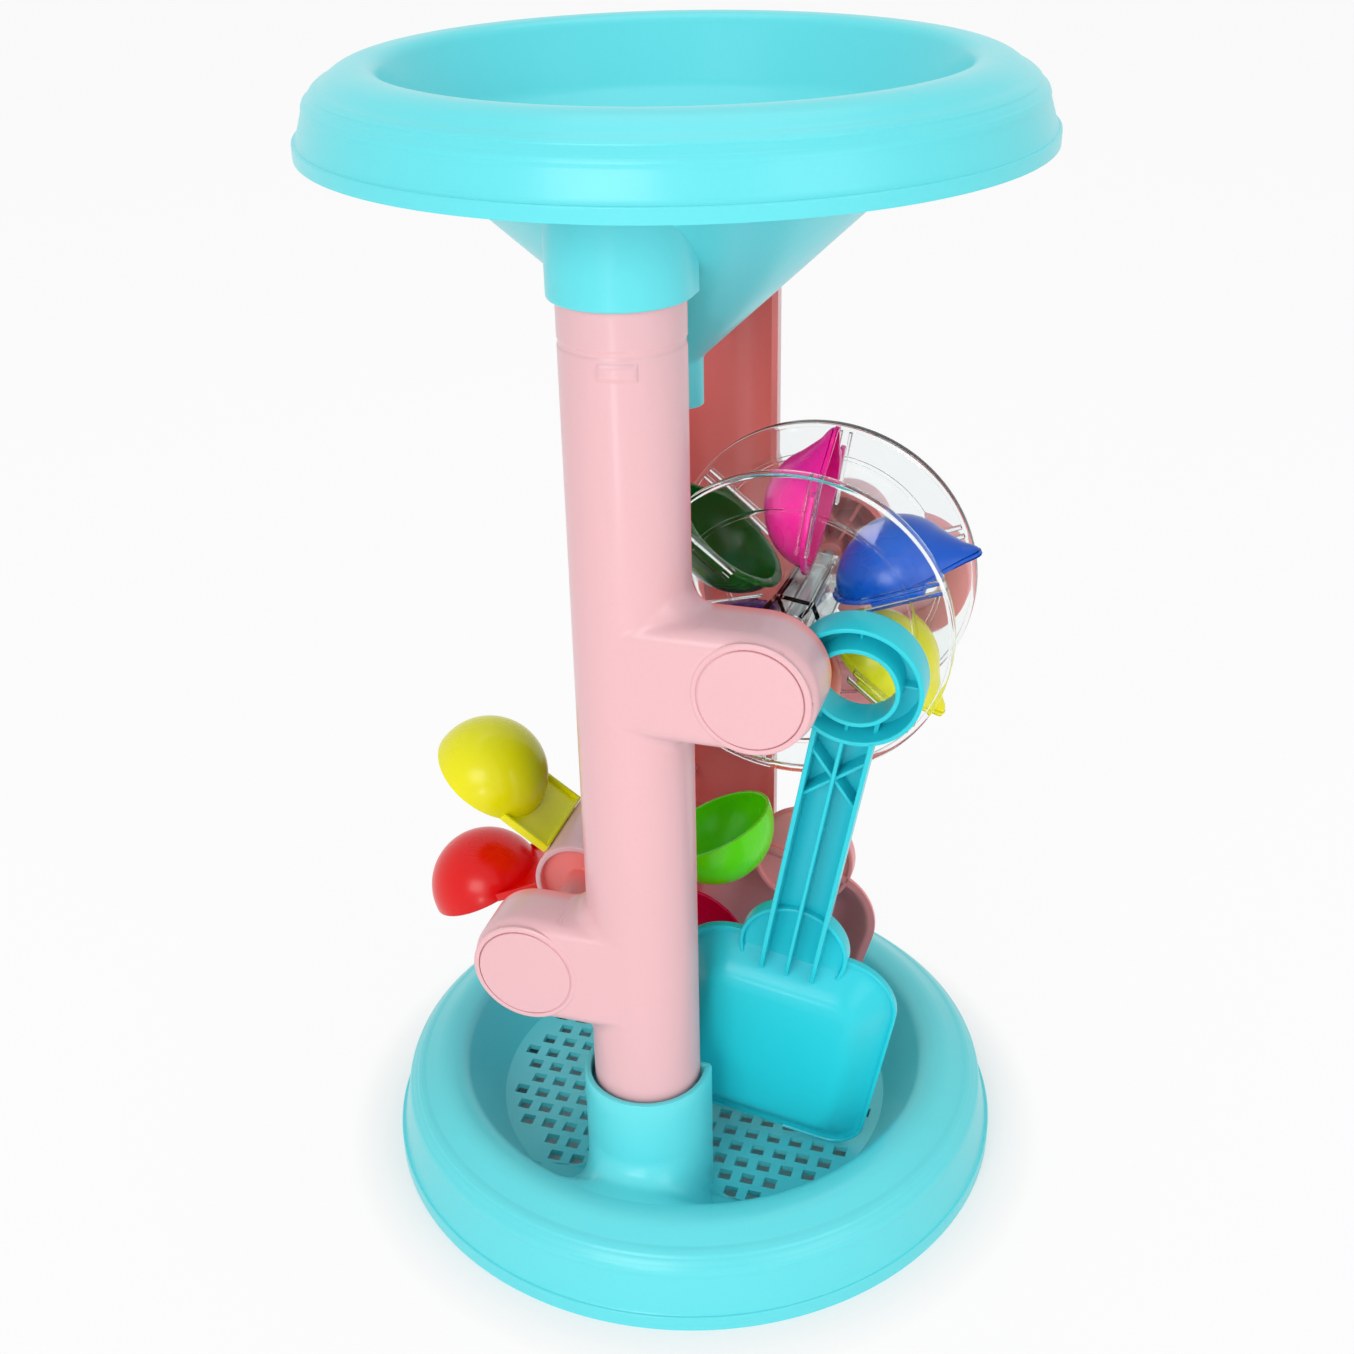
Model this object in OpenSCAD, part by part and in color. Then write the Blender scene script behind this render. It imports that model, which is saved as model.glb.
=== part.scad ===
// Sand wheel toy: a round sieve tray, two posts with stub arms, a funnel hopper on top,
// two free wheels of coloured cups between the posts, and a shovel and a rake in the tray.
// Millimetres. +Z is up, the floor is z = 0, and the origin is under the middle of the tray.
// The front post stands at -Y and the back post at +Y.

/* [Overall] */
// Height from the floor to the top of the hopper rim
stand_h = 411; // [380:1:460]
// Radius of the tray at its lip
base_r = 119; // [112:1:130]
// Radius of the hopper at its lip
hopper_r = 116; // [108:1:128]
// Wall of the tray and of the hopper
shell_t = 2.2; // [1.6:0.1:3]

/* [Tray] */
// Height of the tray's round rim
base_rim_h = 34; // [30:1:40]
// Radius of the well at the top of its wall
well_r = 91; // [88:1:95]
// Radius of the sieve floor
floor_r = 77; // [74:1:82]
// Height of the sieve floor's upper face
floor_z = 10; // [8:0.5:14]
// Thickness of the sieve floor
floor_t = 2.4; // [1.6:0.1:4]
// Side of one sieve hole
sieve_hole = 5; // [3:0.5:6]
// Spacing of the sieve holes along a row
sieve_step_x = 8.8; // [8:0.2:12]
// Spacing of the rows of sieve holes
sieve_step_y = 8; // [7.5:0.5:12]

/* [Hopper] */
// Height of the hopper's rim over its lip's lower edge
hopper_rim_h = 25.5; // [22:0.5:30]
// Radius of the funnel's cone at its top
funnel_r = 81; // [76:1:85]
// Height of the cone's top edge below the rim's crest
funnel_drop = 23; // [18:1:26]
// Clearance between the nozzle and the sweep of the upper cups
nozzle_gap = 3.3; // [3:0.1:12]
// Radius of the nozzle's bore
nozzle_bore = 5.4; // [4.5:0.1:8]
// Length of the nozzle below the cone
nozzle_l = 17; // [10:1:24]

/* [Posts] */
// Distance of each post's middle from the centre, along Y
post_y = 57.4; // [54:0.2:60]
// Radius of a post's round front
post_r = 19.2; // [17:0.2:20]
// Depth of a post's straight sides behind its middle
post_leg = 3; // [2:0.5:6]
// Wall of the posts and arms
post_t = 2.2; // [1.6:0.1:3]
// Height of the shoulder where a post sits in the tray's collar
shoulder_z = 58; // [50:1:70]
// Height of the tray's collars over the shoulder
collar_up = 8; // [4:1:14]
// Radial gap that shows between a post and the tray's collar
collar_gap = 1.5; // [0.5:0.1:2]
// Distance of the lower edge of the hopper's collars below its crest
hopper_collar_drop = 59; // [55:1:66]

/* [Arms and axles] */
// Distance of the upper axle from the middle, towards +X
upper_x = 43.7; // [40:0.1:46]
// Height of the upper axle as a share of the whole height
upper_share = 0.5698; // [0.56:0.0001:0.58]
// Distance of the lower axle from the middle, towards -X
lower_x = 37.5; // [33:0.1:39]
// Height of the lower axle as a share of the whole height
lower_share = 0.2774; // [0.27:0.0001:0.282]
// Radius of an arm's round end
arm_r = 20.5; // [19:0.1:21]
// Radius of the round edge along an arm's face
arm_round = 6; // [3:0.5:8]
// Thickness of an arm's face
arm_face_t = 3; // [2.4:0.1:4]
// Radius of an axle pin
axle_r = 3.5; // [2.5:0.1:4]
// Radius of the boss that holds an axle pin in an arm
boss_r = 7.5; // [6:0.1:9]
// Radius of the round cap over an axle's end
cap_r = 17.2; // [12:0.1:18]
// Thickness of a cap
cap_t = 1.8; // [1.4:0.1:2.4]

/* [Upper wheel] */
// Radius of the clear discs
disc_r = 54.4; // [50:0.2:56]
// Thickness of a clear disc
disc_t = 1.6; // [1:0.1:2.4]
// Space between the two clear discs
disc_space = 49.2; // [46:0.2:52]
// Radius of the round part of a cup
cup_r = 20; // [16:0.5:21]
// Distance of a cup's round part from the axle
cup_mid = 34; // [33:0.5:36]
// Reach of a cup's tip from the axle
cup_tip = 62.5; // [60:0.5:64]
// Radius of a cup's spout at its tip
spout_r = 4.2; // [3:0.2:6]
// Angle of the blue cup's mouth above the level
upper_turn = 21; // [0:1:59]
// Wall of every cup
cup_t = 1.5; // [1:0.1:2]

/* [Lower wheel] */
// Radius of a scoop's bowl
scoop_r = 22.5; // [18:0.5:23]
// Distance of a scoop's bowl from the axle
scoop_mid = 52; // [50:0.5:54]
// Width of a scoop's neck
neck_w = 37; // [30:1:44]
// Depth of the walls beside a scoop's neck
neck_d = 3.4; // [2.4:0.2:9]
// Radius of the lower hub's drum
drum_r = 17.3; // [15:0.1:19]
// Length of the lower hub's drum
drum_l = 44; // [42:1:46]
// Angle of the lime scoop's mouth above the level
lower_turn = 25; // [0:1:59]

/* [Hubs] */
// Outer radius of the hub sleeves that run from arm to arm
sleeve_r = 5.1; // [5:0.1:7.5]
// Radius of the upper hub's six-sided middle, over its corners
hub_r = 13; // [11:0.1:13.4]

/* [Tools] */
// Outer radius of a tool's ring grip
ring_r = 22; // [18:0.5:22.5]
// Radius of the hole in the ring grip
ring_hole_r = 13; // [9:0.5:14]
// Distance of the ring grip's middle from the foot of the tool
ring_up = 219; // [214:1:224]
// Depth of the handle and of the ring grip
grip_d = 14; // [10:0.5:14]
// Width of the handle
handle_w = 20.5; // [16:0.5:24]
// Width of the shovel's blade
blade_w = 84; // [70:1:86]
// Width of the rake's head
rake_w = 73; // [60:1:74]
// Height of the blade and of the rake's head
blade_h = 95; // [80:1:97]
// Depth of the blade and of the rake's head
dish_d = 14; // [10:0.5:14]
// Wall of the tools
tool_t = 1.6; // [1.2:0.1:2.2]
// Lean of the shovel towards +X, in degrees
shovel_lean = 10.7; // [9:0.1:13]
// Lean of the rake towards +X, in degrees
rake_lean = 16; // [14:0.1:17]
// Tilt of a tool's grip towards its post, in degrees
tool_tilt = 5.2; // [5:0.1:5.6]
// Place along X of the shovel's foot
shovel_x = 30.3; // [27:0.1:31]
// Place along X of the rake's foot
rake_x = 11.5; // [10:0.1:13]
// Distance of a tool's foot from the middle, along Y
tool_y = 18.2; // [18:0.1:18.6]
// Number of slots in the rake
rake_slots = 5; // [3:1:7]

/* [Hidden] */

// Clearances
fit_gap = 0.05;
run_gap = 0.08;
part_gap = 0.3;
over = 1;

// Smoothness
$fn = 64;
corner_steps = 6;
hull_fn = 32;

// Tray and hopper rim
lip_h = 6;
lip_step = 1.2;
base_shoulder_in = 5.5;
base_shoulder_z = 25;
base_crest_r = 99;
base_shoulder_round = 9;
base_crest_round = 12;
well_round = 6;
hopper_lip_h = 4.5;
hopper_shoulder_in = 5;
hopper_shoulder_up = 16.5;
hopper_crest_in = 17;
hopper_mouth_in = 26;
hopper_mouth_drop = 1.5;
hopper_shoulder_round = 8;
hopper_crest_round = 14;
hopper_mouth_round = 5;
cone_round = 8;
throat_round = 6;
rim_z = stand_h - hopper_rim_h;
cone_top_z = stand_h - funnel_drop;
upper_z = stand_h * upper_share;
lower_z = stand_h * lower_share;
nozzle_z = upper_z + cup_tip + nozzle_gap;
throat_z = nozzle_z + nozzle_l;
cone_h = cone_top_z - throat_z;
hopper_collar_z = stand_h - hopper_collar_drop;
sieve_edge = 6;

// Posts and their seats
post_back = post_y - post_leg;
post_front = post_y + post_r;
arm_d = post_front - post_back;
plug_in = 1.8;
plug_z = 26;
ledge_t = 3.5;
collar_t = 2.3;
collar_r = post_r + collar_gap + collar_t;
collar_back = collar_gap + collar_t;
seat_t = 1.8;
cap_recess = 1.2;
peg_l = 4;
arm_rib_t = 1.6;
arm_rib_share = 0.6;

// Wheels
cups = 6;
cup_pitch = 360 / cups;
disc_half = disc_space / 2;
sleeve_half = post_back - part_gap;
bead_w = 1.6;
bead_h = 2.4;
step_r = 41;
step_w = 1.4;
step_h = 0.8;
rib_t = 1;
rib_h = 3;
rib_in_r = 26;
flange_t = 1.8;
flange_w = 1.8;
cup_turn = 43;
spout_in = 0.4;
tab_low = 29;
tab_high = 47;
hub_wall = 1.6;
web_t = 1.4;
web_in = 1.5;
web_root = (sleeve_r + axle_r) / 2;
drum_t = 2.2;
tongue_w = 26;
tongue_in = 3.6;

// Tools
flange_out = 3;
top_round = 22;
foot_round = 14;
belly_in = 12;
belly_round = 8;
hump_r = 20;
hump_up = 20;
hump_d = 5;
back_in = 2;
cross_l = 20;
cross_drop = 40;
handle_low_share = 0.92;
slot_w = 6;
slot_h = 36;

// Outlines: a path is a list of points, with a rounding radius for each point
function unit(v) = v / norm(v);
function across(v) = [-v[1], v[0]];
function turn_side(a, b, c) = sign(across(b - a) * (c - b));

function corner(a, b, c, r) = let (
    u = unit(a - b),
    w = unit(c - b),
    half = acos(u * w) / 2,
    centre = b + unit(u + w) * r / sin(half),
    first = b + u * r / tan(half) - centre,
    last = b + w * r / tan(half) - centre,
    from = atan2(first[1], first[0]),
    sweep_raw = atan2(last[1], last[0]) - from,
    sweep = sweep_raw > 180 ? sweep_raw - 360 : sweep_raw < -180 ? sweep_raw + 360 : sweep_raw
) [for (i = [0:corner_steps]) let (a = from + sweep * i / corner_steps) centre + r * [cos(a), sin(a)]];

function rounded(path, radii) = [for (i = [0:len(path) - 1])
    each (radii[i] > 0 ? corner(path[i - 1], path[i], path[i + 1], radii[i]) : [path[i]])];

function side_move(path, i, t) = let (
    last = len(path) - 1,
    before = across(unit(path[max(i, 1)] - path[max(i, 1) - 1])),
    after = across(unit(path[min(i, last - 1) + 1] - path[min(i, last - 1)])),
    middle = unit(before + after)
) path[i] + middle * t / (middle * before);

function moved_path(path, t) = [for (i = [0:len(path) - 1]) side_move(path, i, t)];

function moved_radii(path, radii, t) = [for (i = [0:len(path) - 1])
    radii[i] > 0 ? max(0, radii[i] - t * turn_side(path[i - 1], path[i], path[i + 1])) : 0];

function backwards(list) = [for (i = [len(list) - 1:-1:0]) list[i]];

// A wall of thickness t on the left of a path
module path_wall(path, radii, t)
    polygon(concat(rounded(path, radii),
                   backwards(rounded(moved_path(path, t), moved_radii(path, radii, t)))));

// The tray's path runs from the lip over the rim to the edge of the sieve floor
base_path = [
    [base_r, 0],
    [base_r, lip_h],
    [base_r - lip_step, lip_h],
    [base_r - base_shoulder_in, base_shoulder_z],
    [base_crest_r, base_rim_h],
    [well_r, base_rim_h - lip_step],
    [floor_r, floor_z]
];
base_radii = [0, 0, 0, base_shoulder_round, base_crest_round, well_round, 0];

// The hopper's path runs from the lip over the crest and down the funnel to the nozzle
hopper_path = [
    [hopper_r, rim_z],
    [hopper_r, rim_z + hopper_lip_h],
    [hopper_r - lip_step, rim_z + hopper_lip_h],
    [hopper_r - hopper_shoulder_in, rim_z + hopper_shoulder_up],
    [hopper_r - hopper_crest_in, stand_h],
    [hopper_r - hopper_mouth_in, stand_h - hopper_mouth_drop],
    [funnel_r, cone_top_z],
    [nozzle_bore, throat_z],
    [nozzle_bore, nozzle_z]
];
hopper_radii = [0, 0, 0, hopper_shoulder_round, hopper_crest_round, hopper_mouth_round,
                cone_round, throat_round, 0];

// A post's outline: a half circle with straight sides, open side at leg
module half_round(r, leg) {
    intersection() {
        circle(r);
        translate([-r, -r]) square([2 * r, r]);
    }
    translate([-r, 0]) square([2 * r, leg]);
}

// Places what is drawn for the front post at the back post as well
module front_and_back() {
    children();
    mirror([0, 1, 0]) children();
}

// Space under the funnel that a post and its collar keep clear of
module funnel_space(gap)
    rotate_extrude() polygon(concat(
        [[0, nozzle_z - over]],
        [[nozzle_bore + gap, nozzle_z - over]],
        [[nozzle_bore + gap, throat_z - gap]],
        [[funnel_r + gap, cone_top_z - gap]],
        [[funnel_r + gap, stand_h + over]],
        [[0, stand_h + over]]));

// Collar of the tray: an outer wall, a ledge and an inner seat for the post's plug
module tray_collar() {
    plug_r = post_r - plug_in;
    translate([0, -post_y, floor_z - floor_t]) {
        linear_extrude(shoulder_z + collar_up - floor_z + floor_t) difference() {
            half_round(collar_r, post_leg + collar_back);
            half_round(collar_r - collar_t, post_leg + collar_back - collar_t);
        }
    }
    translate([0, -post_y, plug_z]) linear_extrude(shoulder_z - plug_z - part_gap) difference() {
        half_round(plug_r + fit_gap + seat_t, post_leg - plug_in + fit_gap + seat_t);
        half_round(plug_r + fit_gap, post_leg - plug_in + fit_gap);
    }
    translate([0, -post_y, shoulder_z - part_gap - ledge_t]) linear_extrude(ledge_t) difference() {
        half_round(collar_r - collar_t / 2, post_leg + collar_back - collar_t / 2);
        half_round(plug_r + fit_gap, post_leg - plug_in + fit_gap);
    }
}

function clear_of_collars(p) =
    abs(p[1]) < post_back - collar_back - sieve_hole
    || norm([p[0], abs(p[1]) - post_y]) > collar_r + sieve_hole;

// Sieve floor: staggered rows of square holes
module sieve_floor() {
    rows = floor(floor_r / sieve_step_y);
    columns = floor(floor_r / sieve_step_x);
    difference() {
        translate([0, 0, floor_z - floor_t]) cylinder(r = floor_r + shell_t / 2, h = floor_t);
        for (row = [-rows:rows])
            for (column = [-columns:columns]) {
                shift = abs(row) % 2 * sieve_step_x / 2;
                place = [column * sieve_step_x + shift, row * sieve_step_y];
                if (norm(place) < floor_r - sieve_edge && clear_of_collars(place))
                    translate([place[0] - sieve_hole / 2, place[1] - sieve_hole / 2,
                               floor_z - floor_t - over])
                        cube([sieve_hole, sieve_hole, floor_t + 2 * over]);
            }
    }
}

module base_tray() color([0.43, 0.87, 0.89]) {
    rotate_extrude($fn = 2 * $fn) path_wall(base_path, base_radii, shell_t);
    sieve_floor();
    front_and_back() tray_collar();
}

module hopper_collar()
    translate([0, -post_y, hopper_collar_z])
        linear_extrude(cone_top_z - hopper_collar_z) difference() {
            half_round(post_r + fit_gap + collar_t, post_leg + collar_back);
            half_round(post_r + fit_gap, post_leg + collar_back + over);
        }

module hopper() color([0.43, 0.87, 0.89]) {
    rotate_extrude($fn = 2 * $fn) path_wall(hopper_path, hopper_radii, shell_t);
    difference() {
        front_and_back() hopper_collar();
        funnel_space(shell_t / 2);
    }
}

// Solid of an arm, with its back at y = 0 and its face at y = -d
module arm_body(x, r, d, round) {
    face = rounded([[0, d], [r, d], [r, 0]], [0, round, 0]);
    both = concat(backwards([for (p = face) if (p[0] > 0) [-p[0], p[1]]]),
                  [for (p = face) if (p[0] > 0) p]);
    translate([x, 0, 0]) rotate([90, 0, 0]) rotate_extrude() polygon(concat(face, [[0, 0]]));
    rotate([90, 0, 90]) translate([0, 0, min(0, x)]) linear_extrude(abs(x))
        polygon([for (p = both) [-p[1], p[0]]]);
}

// Hollow of an arm, open at the back
module arm_hollow(x) {
    inner_r = arm_r - post_t;
    inner_d = arm_d - arm_face_t;
    arm_body(x, inner_r, inner_d, arm_round - post_t);
    translate([x, over, 0]) rotate([90, 0, 0]) cylinder(r = inner_r, h = 2 * over);
    translate([min(0, x), -over, -inner_r]) cube([abs(x), 2 * over, 2 * inner_r]);
}

// Boss and thin ribs that hold an axle pin in an arm
module arm_boss(x) {
    translate([x, 0, 0]) rotate([90, 0, 0])
        cylinder(r = boss_r, h = arm_d - arm_face_t + fit_gap);
    for (turn = [0:cup_pitch:180 - cup_pitch])
        translate([x, -arm_d + arm_face_t - fit_gap, 0]) rotate([0, turn, 0])
            translate([-arm_r + post_t / 2, 0, -arm_rib_t / 2])
                cube([2 * arm_r - post_t, arm_d * arm_rib_share, arm_rib_t]);
}

// Bore for the axle pin and recess for its cap
module arm_cuts(x) translate([x, 0, 0]) rotate([90, 0, 0]) {
    translate([0, 0, -over]) cylinder(r = axle_r + fit_gap, h = arm_d + 2 * over);
    translate([0, 0, arm_d - cap_recess]) cylinder(r = cap_r + fit_gap, h = cap_recess + over);
}

module front_post_solid() difference() {
    union() {
        difference() {
            union() {
                translate([0, -post_y, shoulder_z])
                    linear_extrude(cone_top_z - shoulder_z) half_round(post_r, post_leg);
                translate([0, -post_back, upper_z]) arm_body(upper_x, arm_r, arm_d, arm_round);
                translate([0, -post_back, lower_z]) arm_body(-lower_x, arm_r, arm_d, arm_round);
            }
            translate([0, -post_y, shoulder_z + post_t])
                linear_extrude(cone_top_z - shoulder_z) half_round(post_r - post_t, post_leg + over);
            translate([0, -post_back, upper_z]) arm_hollow(upper_x);
            translate([0, -post_back, lower_z]) arm_hollow(-lower_x);
        }
        translate([0, -post_back, upper_z]) arm_boss(upper_x);
        translate([0, -post_back, lower_z]) arm_boss(-lower_x);
        translate([0, -post_y, plug_z]) linear_extrude(shoulder_z - plug_z + fit_gap) difference() {
            half_round(post_r - plug_in, post_leg - plug_in);
            half_round(post_r - plug_in - post_t, post_leg + over);
        }
    }
    translate([0, -post_back, upper_z]) arm_cuts(upper_x);
    translate([0, -post_back, lower_z]) arm_cuts(-lower_x);
    funnel_space(shell_t / cos(atan2(cone_h, funnel_r - nozzle_bore)) + part_gap);
}

module front_post() color([0.96, 0.72, 0.76]) front_post_solid();
module back_post() color([0.96, 0.72, 0.76]) mirror([0, 1, 0]) front_post_solid();

module at_upper() translate([upper_x, 0, upper_z]) children();
module at_lower() translate([-lower_x, 0, lower_z]) children();

// Pin through both arms, short of the caps' pegs
module axle_pin() {
    half = post_front - cap_recess - peg_l - part_gap;
    rotate([90, 0, 0]) translate([0, 0, -half]) rotate_extrude()
        polygon(rounded([[0, 0], [axle_r, 0], [axle_r, 2 * half], [0, 2 * half]],
                        [0, axle_r / 4, axle_r / 4, 0]));
}

module upper_axle() color([0.93, 0.92, 0.9]) at_upper() axle_pin();
module lower_axle() color([0.93, 0.92, 0.9]) at_lower() axle_pin();

// Cap in the face of an arm, with a peg in the axle's bore
module axle_cap()
    translate([0, -post_front + cap_recess, 0]) rotate([90, 0, 0]) {
        rotate_extrude() polygon(rounded([[0, 0], [cap_r, 0], [cap_r, cap_t], [0, cap_t]],
                                         [0, 0, cap_t / 3, 0]));
        translate([0, 0, -peg_l]) cylinder(r = axle_r, h = peg_l + fit_gap);
    }

module upper_cap_front() color([0.96, 0.72, 0.76]) at_upper() axle_cap();
module upper_cap_back() color([0.96, 0.72, 0.76]) at_upper() mirror([0, 1, 0]) axle_cap();
module lower_cap_front() color([0.96, 0.72, 0.76]) at_lower() axle_cap();
module lower_cap_back() color([0.96, 0.72, 0.76]) at_lower() mirror([0, 1, 0]) axle_cap();

// Wheel frame: local Z points out from the axle at the given angle above the level,
// local Y turns with the wheel, and local X lies along the axle towards the back
module spoke(angle) rotate([0, 90 - angle, 0]) rotate([0, 0, 90]) children();

// Clear disc on the back side of the wheel, with its beads and the ribs that hold the cups
module clear_disc() {
    rotate([-90, 0, 0]) rotate_extrude($fn = 2 * $fn) {
        translate([sleeve_r + fit_gap, disc_half]) square([disc_r - sleeve_r - fit_gap, disc_t]);
        translate([disc_r - bead_w, disc_half - bead_h]) square([bead_w, bead_h + disc_t]);
        translate([step_r, disc_half + disc_t - fit_gap]) square([step_w, step_h]);
    }
    for (i = [0:cups - 1]) spoke(upper_turn + i * cup_pitch)
        for (side = [-part_gap - rib_t, flange_t + part_gap])
            translate([disc_half - rib_h, side, rib_in_r])
                cube([rib_h + fit_gap, rib_t, disc_r - bead_w - rib_in_r + fit_gap]);
}

module upper_disc_back() color([0.85, 0.9, 0.92, 0.4]) at_upper() clear_disc();
module upper_disc_front() color([0.85, 0.9, 0.92, 0.4]) at_upper()
    mirror([0, 1, 0]) clear_disc();

// Hollow length along the axle, for a running fit on the pin
module sleeve() rotate([90, 0, 0]) translate([0, 0, -sleeve_half]) difference() {
    cylinder(r = sleeve_r, h = 2 * sleeve_half);
    translate([0, 0, -over]) cylinder(r = axle_r + run_gap, h = 2 * sleeve_half + 2 * over);
}

module webs(count, turn, out_r, half)
    for (i = [0:count - 1]) rotate([0, turn + i * 360 / count, 0])
        translate([web_root, -half, -web_t / 2]) cube([out_r - web_root, 2 * half, web_t]);

module upper_hub() color([0.85, 0.9, 0.92, 0.4]) at_upper() {
    half = disc_half - fit_gap;
    sleeve();
    webs(cups, cup_pitch / 2 - upper_turn, hub_r - hub_wall, half);
    rotate([0, cup_pitch / 2 - upper_turn, 0]) rotate([90, 0, 0]) translate([0, 0, -half]) difference() {
        cylinder(r = hub_r, h = 2 * half, $fn = cups);
        translate([0, 0, -over])
            cylinder(r = hub_r - hub_wall / cos(180 / cups), h = 2 * half + 2 * over, $fn = cups);
    }
}

// Half outline of a cup, less t all round: a ball that draws out to a spout
module cup_outline(t) intersection() {
    union() {
        translate([0, cup_mid]) circle(cup_r - t);
        translate([0, cup_tip - spout_r]) circle(spout_r - t);
        polygon([[0, cup_mid], [0, cup_mid] + (cup_r - spout_in - t) * [cos(cup_turn), sin(cup_turn)],
                 [spout_r - t, cup_tip - spout_r], [0, cup_tip - spout_r]]);
    }
    square([cup_r, cup_tip]);
}

// Cup of the upper wheel: half a turn of its outline, a flat rim and two tabs
module upper_cup(i) at_upper() spoke(upper_turn + i * cup_pitch) difference() {
    union() {
        rotate_extrude(angle = 180) cup_outline(0);
        translate([0, flange_t, 0]) rotate([90, 0, 0]) linear_extrude(flange_t) {
            translate([0, cup_mid]) circle(cup_r + flange_w);
            translate([part_gap - disc_half, tab_low])
                square([2 * (disc_half - part_gap), tab_high - tab_low]);
        }
    }
    rotate_extrude() cup_outline(cup_t);
}

module upper_cup_blue() color([0.0, 0.42, 0.94]) upper_cup(0);
module upper_cup_magenta() color([1.0, 0.0, 0.62]) upper_cup(1);
module upper_cup_green() color([0.0, 0.47, 0.12]) upper_cup(2);
module upper_cup_purple() color([0.42, 0.14, 0.6]) upper_cup(3);
module upper_cup_orange() color([0.98, 0.32, 0.1]) upper_cup(4);
module upper_cup_yellow() color([0.9, 0.88, 0.0]) upper_cup(5);

// Drum with a slot for each scoop's tongue, and a wall set in at both ends
module lower_hub() color([0.96, 0.72, 0.76]) at_lower() {
    half = drum_l / 2;
    sleeve();
    webs(cups, cup_pitch / 2 - lower_turn, drum_r - drum_t / 2, half - web_in - web_t / 2);
    front_and_back() translate([0, web_in - half, 0]) rotate([-90, 0, 0]) difference() {
        cylinder(r = drum_r - drum_t / 2, h = web_t);
        translate([0, 0, -over]) cylinder(r = web_root, h = web_t + 2 * over);
    }
    difference() {
        rotate([90, 0, 0]) translate([0, 0, -half]) difference() {
            cylinder(r = drum_r, h = drum_l);
            translate([0, 0, -over]) cylinder(r = drum_r - drum_t, h = drum_l + 2 * over);
        }
        for (i = [0:cups - 1]) spoke(lower_turn + i * cup_pitch)
            translate([-tongue_w / 2 - part_gap, -flange_t - part_gap, drum_r - tongue_in])
                cube([tongue_w + 2 * part_gap, flange_t + 2 * part_gap, tongue_in + over]);
    }
}

// Scoop of the lower wheel: a round bowl, a boxed neck and a tongue for the drum
module lower_scoop(i) at_lower() spoke(lower_turn + i * cup_pitch) {
    foot = drum_r + part_gap;
    difference() {
        union() {
            translate([0, 0, scoop_mid]) rotate_extrude() intersection() {
                circle(scoop_r);
                translate([0, -scoop_r]) square([scoop_r, 2 * scoop_r]);
            }
            translate([-neck_w / 2, -neck_d, foot]) cube([neck_w, neck_d, scoop_mid - foot]);
        }
        translate([0, 0, scoop_mid]) rotate_extrude() intersection() {
            circle(scoop_r - cup_t);
            translate([0, -scoop_r]) square([scoop_r, 2 * scoop_r]);
        }
        translate([-scoop_r - over, 0, scoop_mid - scoop_r - over])
            cube([2 * scoop_r + 2 * over, scoop_r + over, 2 * scoop_r + 2 * over]);
        difference() {
            translate([-neck_w / 2 + cup_t, -neck_d - over, foot + cup_t])
                cube([neck_w - 2 * cup_t, neck_d + over - flange_t, scoop_mid - foot - cup_t + over]);
            translate([0, 0, scoop_mid]) sphere(scoop_r);
        }
    }
    translate([-tongue_w / 2, -flange_t, foot - tongue_in])
        cube([tongue_w, flange_t, tongue_in + fit_gap]);
}

module lower_scoop_lime() color([0.3, 0.85, 0.0]) lower_scoop(0);
module lower_scoop_teal() color([0.0, 0.55, 0.75]) lower_scoop(1);
module lower_scoop_yellow() color([0.9, 0.88, 0.0]) lower_scoop(2);
module lower_scoop_red() color([0.92, 0.04, 0.04]) lower_scoop(3);
module lower_scoop_violet() color([0.45, 0.2, 0.7]) lower_scoop(4);
module lower_scoop_crimson() color([0.92, 0.0, 0.3]) lower_scoop(5);

// Tool frame: local Z runs up the handle, the open back is y = 0, and the belly is at -Y.
// The rounded foot stands on the sieve, so its lowest corner sets the height.
module tool_place(x, lean, width) {
    foot_x = width / 2 - foot_round;
    low = foot_round * cos(lean) - foot_x * sin(lean) - foot_round;
    lift = floor_z + part_gap - low * cos(tool_tilt) + tool_t * sin(tool_tilt);
    translate([x, -tool_y, lift]) rotate([tool_tilt, 0, 0]) rotate([0, lean, 0]) children();
}

// Four round corners of a head, less t all round, as flat discs at the rim
module head_rim(width, t, thick) hull() for (side = [-1, 1]) {
    translate([side * (width / 2 - foot_round), 0, foot_round]) rotate([90, 0, 0])
        cylinder(r = foot_round - t, h = thick, $fn = hull_fn);
    translate([side * (width / 2 - top_round), 0, blade_h - top_round]) rotate([90, 0, 0])
        cylinder(r = top_round - t, h = thick, $fn = hull_fn);
}

// Belly of a head, less t all round: its rim and four balls at its depth
module head_belly(width, t) hull() {
    for (side = [-1, 1]) {
        translate([side * (width / 2 - foot_round), over - fit_gap, foot_round]) rotate([90, 0, 0])
            cylinder(r = foot_round - flange_out - t, h = over, $fn = hull_fn);
        translate([side * (width / 2 - top_round), over - fit_gap, blade_h - top_round])
            rotate([90, 0, 0]) cylinder(r = top_round - flange_out - t, h = over, $fn = hull_fn);
        for (z = [belly_in + belly_round, blade_h - belly_in - belly_round])
            translate([side * (width / 2 - belly_in - belly_round), -dish_d + belly_round, z])
                sphere(belly_round - t, $fn = hull_fn);
    }
}

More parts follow.
